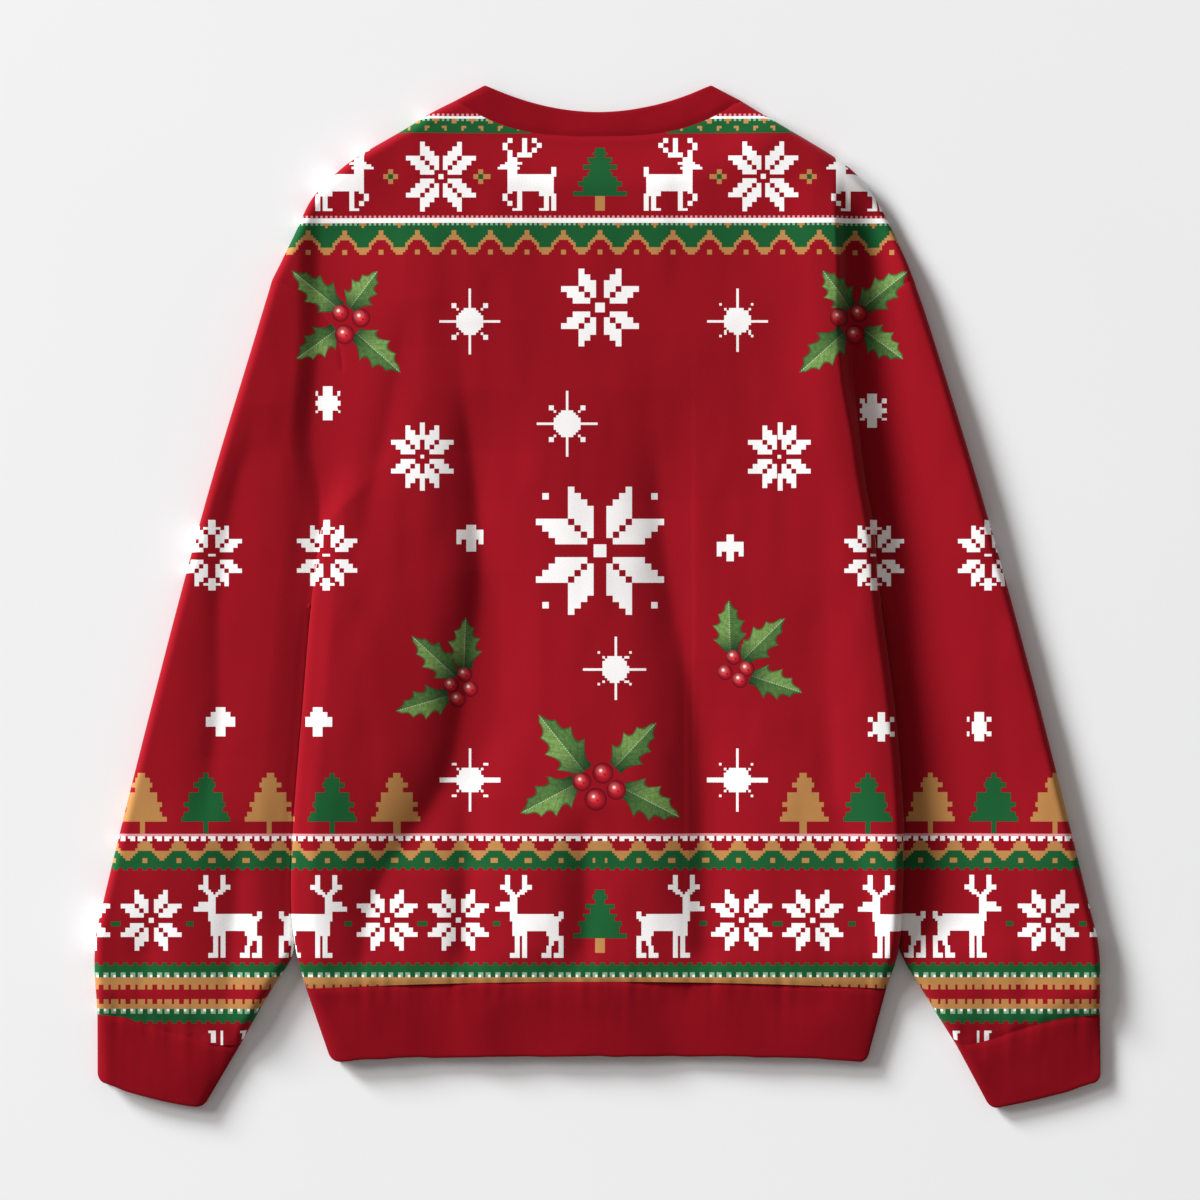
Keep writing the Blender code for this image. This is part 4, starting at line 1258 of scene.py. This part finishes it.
def figures(centres):
    """Star, leaf and berry of each cell, as sizes that the print's material draws."""
    found = {name: np.tile(np.array(values, float), (len(centres), 1))
             for name, values in PLAIN.items()}
    for gap, unit, petals, length, middle, dots, places in STARS:
        for at in (plan(x, y) for x, y in places):
            reach = UNIT * (gap + unit * max(petals + length, dots + 1)) + CELL
            near = (np.abs(centres - at) < reach).all(1)
            found["star_at"][near] = (*at, petals)
            found["star_size"][near] = (gap * UNIT, unit * UNIT, length)
            found["star_dots"][near] = (middle * UNIT, dots, 0.0)
    best = np.full(len(centres), 1e9)
    for tip_x, tip_y, base_x, base_y, half in LEAVES:
        tip, base = plan(tip_x, tip_y), plan(base_x, base_y)
        run = tip - base
        reach = np.linalg.norm(run)
        t = np.clip((centres - base) @ run / reach**2, 0.0, 1.0)
        off = np.linalg.norm(centres - base - t[:, None] * run, axis=1)
        near = (off < half * UNIT * 1.45) & (off < best)
        best[near] = off[near]
        found["leaf_at"][near] = (*base, np.arctan2(run[1], run[0]))
        found["leaf_size"][near] = (reach, LEAF_WIDER * half * UNIT, 0.0)
    old = found["berry_at"]
    for x, y, radius in BERRIES:
        at, size = plan(x, y), BERRY_LARGER * radius * UNIT
        away = np.linalg.norm(centres - at, axis=1) / size
        with np.errstate(divide="ignore", invalid="ignore"):
            now = np.linalg.norm(centres - old[:, :2], axis=1) / old[:, 2]
        old[(away < 1.4) & ~(now < away)] = (*at, size)
    return found


def star_mask(nodes, cloth):
    """Inside a star of slanting petals, drawn in steps of its unit."""
    at = nodes.attribute("star_at")
    gap, unit, length = nodes.parts(nodes.attribute("star_size"))
    middle, dots, _ = nodes.parts(nodes.attribute("star_dots"))
    petals = nodes.parts(at)[2]
    a, b, _ = nodes.parts(nodes.vector("ABSOLUTE", nodes.vector("SUBTRACT", cloth, at)))
    low, high = nodes.math("MINIMUM", a, b), nodes.math("MAXIMUM", a, b)
    i, j = (nodes.math("FLOOR", nodes.math("DIVIDE", nodes.math("SUBTRACT", value, gap), unit))
            for value in (low, high))
    longest = nodes.math("ADD", nodes.math("ADD", i, length), 0.5)
    petal = nodes.times(
        nodes.over(i, -0.5),
        nodes.under(i, nodes.math("SUBTRACT", petals, 0.5)),
        nodes.over(j, nodes.math("ADD", i, 0.5)),
        nodes.under(j, longest))
    corner = nodes.times(*(nodes.math("COMPARE", k, dots, 0.1) for k in (i, j)))
    centre = nodes.under(high, middle)
    return nodes.math("MAXIMUM", nodes.math("MAXIMUM", petal, corner), centre)


def leaf_colour(nodes, cloth, below):
    """A toothed holly leaf along its midrib, over the colour below."""
    at = nodes.attribute("leaf_at")
    length, half, _ = nodes.parts(nodes.attribute("leaf_size"))
    links = {"Vector": nodes.offset(cloth, at), "Angle": nodes.times(nodes.parts(at)[2], -1.0)}
    turned = nodes.add("ShaderNodeVectorRotate", {"rotation_type": "Z_AXIS"}, links)
    run, across, _ = nodes.parts(turned)
    s = nodes.math("DIVIDE", run, length)
    wide = nodes.math("ABSOLUTE", across)
    share = nodes.math("DIVIDE", wide, nodes.math("MAXIMUM", half, 0.1))
    # its outline: a bowed envelope with hollows between the teeth
    bow = nodes.math("POWER", nodes.line(nodes.math("MAXIMUM", s, 0.0), 0.86, 0.14), 0.9)
    envelope = nodes.times(nodes.math("SINE", nodes.times(bow, np.pi)), 1.12)
    lean = nodes.times(nodes.line(share, -0.16, s), 3.7)
    phase = nodes.line(nodes.over(across, 0.0), 0.35, lean)
    tooth = nodes.math("FRACT", nodes.math("ADD", phase, 0.35))
    hollow = nodes.math("POWER", nodes.math("ABSOLUTE", nodes.line(tooth, 2.0, -1.0)), 2.0)
    arc = nodes.math("SUBTRACT", 1.0, hollow)
    edge = nodes.times(envelope, nodes.line(arc, -0.38, 1.0))
    inside = nodes.math("SUBTRACT", nodes.times(edge, half), wide)
    ends = nodes.times(nodes.over(s, 0.0), nodes.under(s, 1.0))
    mask = nodes.times(nodes.over(inside, 0.0), ends)
    # its halves, side veins, midrib, rim and base
    patch = nodes.noise(cloth, 0.42, 3.0)
    dark = nodes.mix(patch, srgb(30, 70, 38), srgb(88, 128, 66))
    pale = nodes.mix(patch, srgb(66, 116, 50), srgb(172, 204, 120))
    colour = nodes.mix(nodes.between(across, -0.5, 0.5, 0.15, 0.7), dark, pale)
    vein_at = nodes.math("FRACT", nodes.times(nodes.line(share, -0.30, s), 7.0))
    colour = nodes.mix(nodes.times(nodes.under(vein_at, 0.16), 0.3), colour, srgb(52, 92, 50))
    dots = nodes.over(nodes.math("FRACT", nodes.times(run, 0.55)), 0.4)
    midrib = nodes.times(nodes.under(wide, 0.33), dots, 0.75)
    colour = nodes.mix(midrib, colour, srgb(202, 214, 176))
    colour = nodes.mix(nodes.between(inside, 0.1, 1.7, 0.85, 0.0), colour, srgb(22, 62, 34))
    colour = nodes.mix(nodes.between(s, 0.0, 0.4, 0.9, 0.0), colour, srgb(20, 54, 32))
    return nodes.mix(mask, below, colour)


def berry_colour(nodes, cloth, below):
    """A round berry with a highlight and an eye, over the colour below."""
    at = nodes.attribute("berry_at")
    off = nodes.offset(cloth, at)
    radius = nodes.math("MAXIMUM", nodes.parts(at)[2], 0.01)
    q = nodes.math("DIVIDE", nodes.vector("LENGTH", off), radius)
    colour = nodes.mix(nodes.between(q, 0.2, 1.0), srgb(204, 34, 46), srgb(92, 8, 24))
    lit = nodes.vector("DISTANCE", off, (-1.6, 1.9, 0.0))
    colour = nodes.mix(nodes.between(lit, 0.6, 4.6, 0.55, 0.0), colour, srgb(238, 120, 118))
    colour = nodes.mix(nodes.between(lit, 0.7, 1.5, 1.0, 0.0), colour, srgb(252, 226, 224))
    eye = nodes.vector("DISTANCE", off, (1.2, -0.8, 0.0))
    colour = nodes.mix(nodes.between(eye, 0.4, 0.9, 0.8, 0.0), colour, srgb(60, 6, 18))
    return nodes.mix(nodes.under(q, 1.0), below, colour)


def knit(nodes, cloth, pitch):
    """Height of fine jersey: rows of small loops along the cloth."""
    x, y, _ = nodes.parts(cloth)
    wale = nodes.math("SINE", nodes.times(x, 2 * np.pi / pitch))
    course = nodes.math("SINE", nodes.times(y, 2 * np.pi / (0.8 * pitch)))
    return nodes.line(nodes.times(wale, course), 0.18, nodes.noise(cloth, 1.4, 3.0))


def printed_material():
    nodes = Nodes("printed_fleece")
    cloth = nodes.attribute("cloth")
    ramp = nodes.tree.nodes.new("ShaderNodeValToRGB")
    ramp.color_ramp.interpolation = "CONSTANT"
    stops = ramp.color_ramp.elements
    for number, ink in enumerate(PALETTE):
        stop = stops[number] if number < 2 else stops.new(number / INKS)
        stop.position = number / INKS
        stop.color = ink
    nodes.tree.links.new(nodes.attribute("ink", "Fac"), ramp.inputs[0])
    colour = nodes.mix(star_mask(nodes, cloth), ramp.outputs[0], PALETTE[WHITE])
    colour = berry_colour(nodes, cloth, leaf_colour(nodes, cloth, colour))
    fine = nodes.line(nodes.noise(cloth, 0.9, 4.0), 0.16, 0.92)
    broad = nodes.line(nodes.noise(cloth, 0.012, 2.0), 0.10, 0.95)
    colour = nodes.shaded(colour, nodes.times(fine, broad))
    return nodes.finish(colour, knit(nodes, cloth, 1.1), 0.25, SHEEN, SPECULAR)


def rib_material():
    nodes = Nodes("rib")
    cloth = nodes.attribute("cloth")
    colour = nodes.mix(nodes.noise(cloth, 0.02, 2.0), srgb(128, 9, 22), srgb(142, 13, 27))
    fine = nodes.line(nodes.noise(cloth, 1.1, 4.0), 0.16, 0.92)
    colour = nodes.shaded(colour, fine)
    return nodes.finish(colour, knit(nodes, cloth, 1.3), 0.3, SHEEN, SPECULAR)


# ---- Pieces ----

def set_attribute(mesh, name, kind, domain, values):
    layer = mesh.attributes.new(name, kind, domain)
    layer.data.foreach_set("vector" if kind == "FLOAT_VECTOR" else "value",
                           np.asarray(values, np.float32).ravel())


def make_piece(name, points, faces, cloth, inks, marks, material, slot, nodes):
    """A piece from plan points in millimetres, its faces, and what the print draws."""
    mesh = bpy.data.meshes.new(name)
    world = (points - (*MIDDLE, 0.0)) * MM
    mesh.from_pydata(world.tolist(), [], faces)
    mesh.shade_smooth()
    mesh.set_sharp_from_angle(angle=np.radians(SHARP_EDGE))
    flat = np.column_stack([cloth, np.zeros(len(cloth))])
    set_attribute(mesh, "cloth", "FLOAT_VECTOR", "POINT", flat)
    if inks is not None:
        set_attribute(mesh, "ink", "FLOAT", "FACE", (np.asarray(inks) + 0.5) / INKS)
        for mark, values in marks.items():
            set_attribute(mesh, mark, "FLOAT_VECTOR", "FACE", values)
    mesh.materials.append(material)
    piece = placed(name, mesh)
    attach(piece, "root")
    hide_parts(*nodes)
    return piece


def sheet_parts(outline, lie, upper):
    """Points, faces, cloth places, inks and figures of one layer of printed cloth."""
    flat, faces, centres, grid = cells_in(outline)
    points, inner, inner_faces, rims, outer_faces = shell(flat, faces, grid, lie, upper)
    extra = len(inner_faces) + len(rims)
    corner = np.array([flat[inner[f[0] - len(flat)]] for f in inner_faces])
    aside, up = np.abs(corner[:, 0]), corner[:, 1] - UNDERARM
    near = [np.hypot(aside - edge_x(UNDERARM, side), up) < UNDERARM_RED for side in SIDES.values()]
    hidden = np.where(near[0] | near[1], FIELD, INSIDE)
    inks = np.r_[Print(centres).paint(), hidden, np.full(len(rims), FIELD)]
    marks = {name: np.vstack([values, np.tile(PLAIN[name], (extra, 1))])
             for name, values in figures(centres).items()}
    cloth = np.vstack([flat, flat[inner]])
    return points, outer_faces + inner_faces + rims, cloth, inks, marks


def joined(parts):
    points, faces, cloths, inks, marks = [], [], [], [], {}
    count = 0
    for p, f, c, i, m in parts:
        faces += [tuple(k + count for k in face) for face in f]
        count += len(p)
        points.append(p)
        cloths.append(c)
        inks.append(i)
        for name, values in m.items():
            marks.setdefault(name, []).append(values)
    marks = {name: np.vstack(values) for name, values in marks.items()}
    return np.vstack(points), faces, np.vstack(cloths), np.concatenate(inks), marks


def by_side(height, p):
    z = np.zeros(len(p))
    for side in SIDES.values():
        half = p[:, 0] * side >= 0
        z[half] = height(p[half], side)
    return z


def lie_body(neck, radius, upper):
    """How the back's or the front's flat cloth lies."""
    x = np.linspace(-HEM_DIP_HALF, HEM_DIP_HALF, 60)
    seams = [neck_line(NECK_CORNER, neck, 60), np.stack([x, hem_seam_y(x)], 1)]
    arms = [armhole(side)[1] for side in SIDES.values()]

    def lie(flat):
        p = body_plan(flat, radius, upper)
        z = by_side(upper_body if upper else lower_body, p)
        if upper:
            z = z - seam_dip(p, seams) - seam_dip(p, arms, ARM_DIP)
        return np.column_stack([p, np.maximum(z, 0.0)])

    return lie


def lie_sleeve(side, radius, reach, upper):
    """How one layer of a sleeve's flat cloth lies."""
    height = upper_sleeve if upper else lower_sleeve

    def lie(flat):
        p = sleeve_plan(flat, side, radius, reach)
        z = height(p, side)
        if upper:
            z = z - seam_dip(p, [cuff_seam(side)]) - seam_dip(p, [armhole(side)[1]], ARM_DIP)
        return np.column_stack([p, np.maximum(z, 0.0)])

    return lie


# ---- Bands ----

CORNER = 5.0                        # rounding of the bands' corners
EDGE_RIPPLE = 0.5                   # unevenness of their free edges
NECK_ROWS, NECK_COLUMNS, NECK_SEED = 12, 170, 41
NECK_DEEP, NECK_MOUTH, NECK_RIPPLE = 17.0, 8.0, 0.35
HEM_ROWS, HEM_COLUMNS, HEM_SEED = 30, 260, 23
HEM_DEEP = 52.0
HEM_LEFT_ROUND = 9.0                # more rounding of its left fold at the free edge
HEM_RIGHT_ROUND = 26.0, 34.0        # of its right fold at the seam, and more at the free edge
HEM_FOLD_SLANT = 0.15
HEM_FOLDS = (                       # x of the trough, width on its west, on its east, depth
    (-117.0, 32.0, 20.0, 2.2),
    (-62.0, 18.0, 26.0, 0.9),
    (52.0, 24.0, 34.0, 2.8),
    (118.0, 22.0, 60.0, 1.6),
)
CUFF_ROWS, CUFF_COLUMNS, CUFF_SEED = 28, 90, 33
CUFF_DEEP = 46.0
CUFF_MOUTH = {LEFT: MOUTH_LOFT, RIGHT: 7.5}
CUFF_WEST_ROUND = 5.0               # more rounding of its west fold at the free edge
CUFF_EAST_ROUND = 22.0, 40.0        # of its east fold at the seam, and more at the free edge
SWELL_HEIGHT = 0.7                  # of the hem band and the cuffs
SWELL_FROM_SEAM = 0.35              # share of the depth over which the swells grow


def layer(seam, free, upper, height, rows, seed, corners):
    """Rows of points of a band's upper or lower layer, from its seam to its free edge."""
    deep = np.linalg.norm(free - seam, axis=1)
    if corners:
        run = run_of(free)
        short = CORNER * (1 - quarter(np.minimum(run, run[-1] - run) / CORNER))
        where = np.stack([free[:, 0], 0 * run], 1)
        short = short + EDGE_RIPPLE * noise(where, (13.0, 9.0), seed + 7)
        free = free - (free - seam) * (short / deep)[:, None]
    share = np.linspace(0.0, 1.0, rows + 1)
    places = seam[None] + share[:, None, None] * (free - seam)[None]
    z = np.stack([height(row, s, upper) for row, s in zip(places, share)])
    return np.dstack([places, z])


def band(name, seams, edges, height, material, rows, seed, corners=True):
    """A band: a flattened ring of cloth from its seam to its rounded free edge."""
    top, under = (layer(seam, free, upper, height, rows, seed, corners)
                  for seam, free, upper in zip(seams, edges, (True, False)))
    ring = np.concatenate([top, under[:, -2:0:-1]], axis=1)
    count = ring.shape[1]
    across = np.roll(ring, -1, 1) - np.roll(ring, 1, 1)
    up = np.gradient(ring, axis=0)
    normals = np.cross(across, up)
    normals /= np.maximum(np.linalg.norm(normals, axis=2), 1e-9)[..., None]
    if normals[rows // 2, count // 4, 2] < 0:
        normals = -normals
    inner = ring - RIB * normals
    inner[..., 2] = np.maximum(inner[..., 2], LOWEST_INSIDE)
    out = up[-1] / np.linalg.norm(up[-1], axis=1)[:, None]
    lip = []
    for turn in np.pi * np.array((0.25, 0.5, 0.75)):
        middle = (ring[-1] + inner[-1]) / 2
        lip.append(middle + RIB / 2 * (np.cos(turn) * normals[-1] + np.sin(turn) * out))
        lip[-1][:, 2] = np.maximum(lip[-1][:, 2], 0.0)
    sheet = np.concatenate([ring, np.array(lip), inner[::-1]])
    index = np.arange(len(sheet) * count).reshape(-1, count)
    faces = []
    for a, b in zip(index, np.roll(index, -1, 0)):
        quads = np.stack([a, np.roll(a, -1), np.roll(b, -1), b], 1)
        faces += [tuple(q) for q in quads.tolist()]
    points = sheet.reshape(-1, 3)
    a, b, c, d = (points[k] for k in faces[count // 4 + count * (rows // 2)])
    if np.cross(c - a, d - b)[2] < 0:
        faces = [f[::-1] for f in faces]
    cloth = np.stack(np.meshgrid(run_of(ring[rows // 2]), run_of(sheet[:, count // 4])), -1)
    piece = make_piece(name, points, faces, cloth.reshape(-1, 2), None, {}, material, "rib", [name])
    closed = np.vstack([ring[rows // 2], ring[rows // 2, :1]])
    size = run_of(closed)[-1] * MM, run_of(ring[:, count // 4])[-1] * MM


def spaced_line(line, columns):
    """Points along a line from fold to fold, closer together near its ends."""
    length = run_of(line)[-1]
    flat = np.linspace(-WRAP * EDGE_ROUND, length + WRAP * EDGE_ROUND, columns + 1)
    start, end = (bent(away, EDGE_ROUND, 1.0) for away in (flat, length - flat))
    return along(line, np.where(flat < length / 2, start, length - end))


def crown_height(row, share, folds, first, edge, radii, last=MOUTH_LOFT):
    """Height of a band's upper layer between its west and its east fold."""
    away = [distance(row, fold) for fold in folds]
    rise = [quarter(a / radius) for a, radius in zip(away, radii)]
    crown = first + share * (last - first)
    return edge + (crown - edge) * rise[0] * rise[1], np.minimum(*away)


def uneven(z, down, away, ripple):
    """Dips the band's seam and adds its ripple, away from its folds."""
    dip = SEAM_DIP * np.exp(-((down / SEAM_WIDTH) ** 2))
    return z - (dip - ripple) * np.minimum(away / EDGE_ROUND, 1.0)


def swells(row, down, share, size, seed):
    where = np.stack([row[:, 0], 0 * row[:, 0] + down], 1)
    return SWELL_HEIGHT * noise(where, size, seed) * smooth(share / SWELL_FROM_SEAM)


def neckband(material):
    seams = [spaced_line(neck_line(NECK_CORNER, neck), NECK_COLUMNS)
             for neck in (BACK_NECK, FRONT_NECK)]
    fold = np.array([NECK_CORNER, NECK_PEAK])
    folds = [fold * (-1, 1), fold]
    edges = []
    for seam, rim in zip(seams, (BACK_RIM, FRONT_RIM)):
        x = seam[:, 0] * NECK_PEAK[0] / NECK_CORNER[0]
        edges.append(np.stack([x, scoop(x, NECK_PEAK, rim)], 1))

    def height(row, share, upper):
        edge = edge_height(NECK_CORNER[1] + share * (NECK_PEAK[1] - NECK_CORNER[1]))
        radii = EDGE_ROUND, EDGE_ROUND
        z, away = crown_height(row, share, folds, NECK_LOFT, edge, radii, NECK_MOUTH)
        if not upper:
            return edge * lifted_edge(away)
        where = np.stack([row[:, 0], 0 * row[:, 0] + 20 * share], 1)
        ripple = NECK_RIPPLE * noise(where, (16.0, 12.0), NECK_SEED)
        return uneven(z, share * NECK_DEEP, away, ripple)

    band("neckband", seams, edges, height, material, NECK_ROWS, NECK_SEED, corners=False)


def hemband(material):
    x = np.linspace(-edge_x(HEM_SEAM, LEFT), edge_x(HEM_SEAM, RIGHT), 120)
    seam = spaced_line(np.stack([x, hem_seam_y(x)], 1), HEM_COLUMNS)
    left, right = hem_corner(LEFT), hem_corner(RIGHT)
    share_x = (seam[:, 0] - seam[0, 0]) / (seam[-1, 0] - seam[0, 0])
    free_x = left[0] + share_x * (right[0] - left[0])
    free = np.stack([free_x, hem_edge_y(free_x)], 1)
    folds = [np.array([seam[0], left]), np.array([seam[-1], right])]

    def height(row, share, upper):
        edge = side_height(HEM_SEAM + share * (HEM_CORNER[0] - HEM_SEAM))
        at_seam, more = HEM_RIGHT_ROUND
        radii = SIDE_ROUND[LEFT] + share * HEM_LEFT_ROUND, at_seam + share * more
        z, away = crown_height(row, share, folds, HEM_LOFT, edge, radii)
        if not upper:
            part_way = np.minimum(away / (LIP + share * (UNDER_ROUND - LIP)), 1.0)
            return edge * (1 - part_way + share * (part_way - quarter(part_way)))
        down = share * HEM_DEEP
        soft = swells(row, down, share, (30.0, 34.0), HEM_SEED)
        for x, west, east, depth in HEM_FOLDS:
            off = row[:, 0] - x - HEM_FOLD_SLANT * down
            soft -= depth * np.exp(-((off / np.where(off > 0, east, west)) ** 2))
        ripple = gathers(row[:, 0], np.full(len(row), down), BODY_SEED) + soft
        return uneven(z, down, away, ripple)

    band("hemband", (seam, seam), (free, free), height, material, HEM_ROWS, HEM_SEED)


def cuff(name, side, material):
    seam_out, seam_in, free_out, free_in = CUFFS[side]
    seam = spaced_line(cuff_seam(side), CUFF_COLUMNS)
    share_x = run_of(seam) / run_of(seam)[-1]
    free = free_out + share_x[:, None] * (free_in - free_out)
    free[:, 1] -= CUFF_BOW * np.sin(np.pi * share_x)
    folds = [np.array([seam_out, free_out]), np.array([seam_in, free_in])]
    west_first = folds[::-side]

    def height(row, share, upper):
        at_seam, more = CUFF_EAST_ROUND
        radii = EDGE_ROUND + share * CUFF_WEST_ROUND, at_seam + share * more
        ends = west_first, CUFF_LOFT, FREE_HEIGHT, radii, CUFF_MOUTH[side]
        z, away = crown_height(row, share, *ends)
        if not upper:
            return FREE_HEIGHT * lifted_edge(away)
        down = share * CUFF_DEEP
        soft = swells(row, down, share, (24.0, 30.0), CUFF_SEED + side)
        ripple = gathers(row[:, 0] * side, np.full(len(row), down), SLEEVE_SEED) + soft
        return uneven(z, down, away, ripple)

    band(f"cuff_{name}", (seam, seam), (free, free), height, material, CUFF_ROWS, CUFF_SEED)


# ---- The whole garment ----

LAYERS = (                          # the upper layer and the lower one: whether upper, radius,
    (True, EDGE_ROUND, inner_round),    # and how far the sleeve's inner edge reaches
    (False, UNDER_ROUND, tuck_reach),
)


def flat_area(outline):
    x, y = outline.T
    return abs(np.sum(x * np.roll(y, -1) - y * np.roll(x, -1))) / 2


def build():
    fleece, rib = printed_material(), rib_material()
    bodies = (("back", BACK_NECK, "front"), ("front", FRONT_NECK, "floor"))
    for (name, neck, below), (upper, radius, _) in zip(bodies, LAYERS):
        outline = body_outline(neck, radius, upper)
        parts = sheet_parts(outline, lie_body(neck, radius, upper), upper)
        piece = make_piece(name, *parts, fleece, "printed_fleece", [name])
    for name, side in SIDES.items():
        parts, area = [], 0.0
        for upper, radius, reach in LAYERS:
            outline = sleeve_outline(side, radius, reach)
            area += flat_area(outline) * MM**2
            parts.append(sheet_parts(outline, lie_sleeve(side, radius, reach, upper), upper))
        piece = make_piece(f"sleeve_{name}", *joined(parts), fleece, "printed_fleece",
                           [f"sleeve_{name}", f"sleeve_{name}_under"])
    neckband(rib)
    hemband(rib)
    for name, side in SIDES.items():
        cuff(name, side, rib)


build()
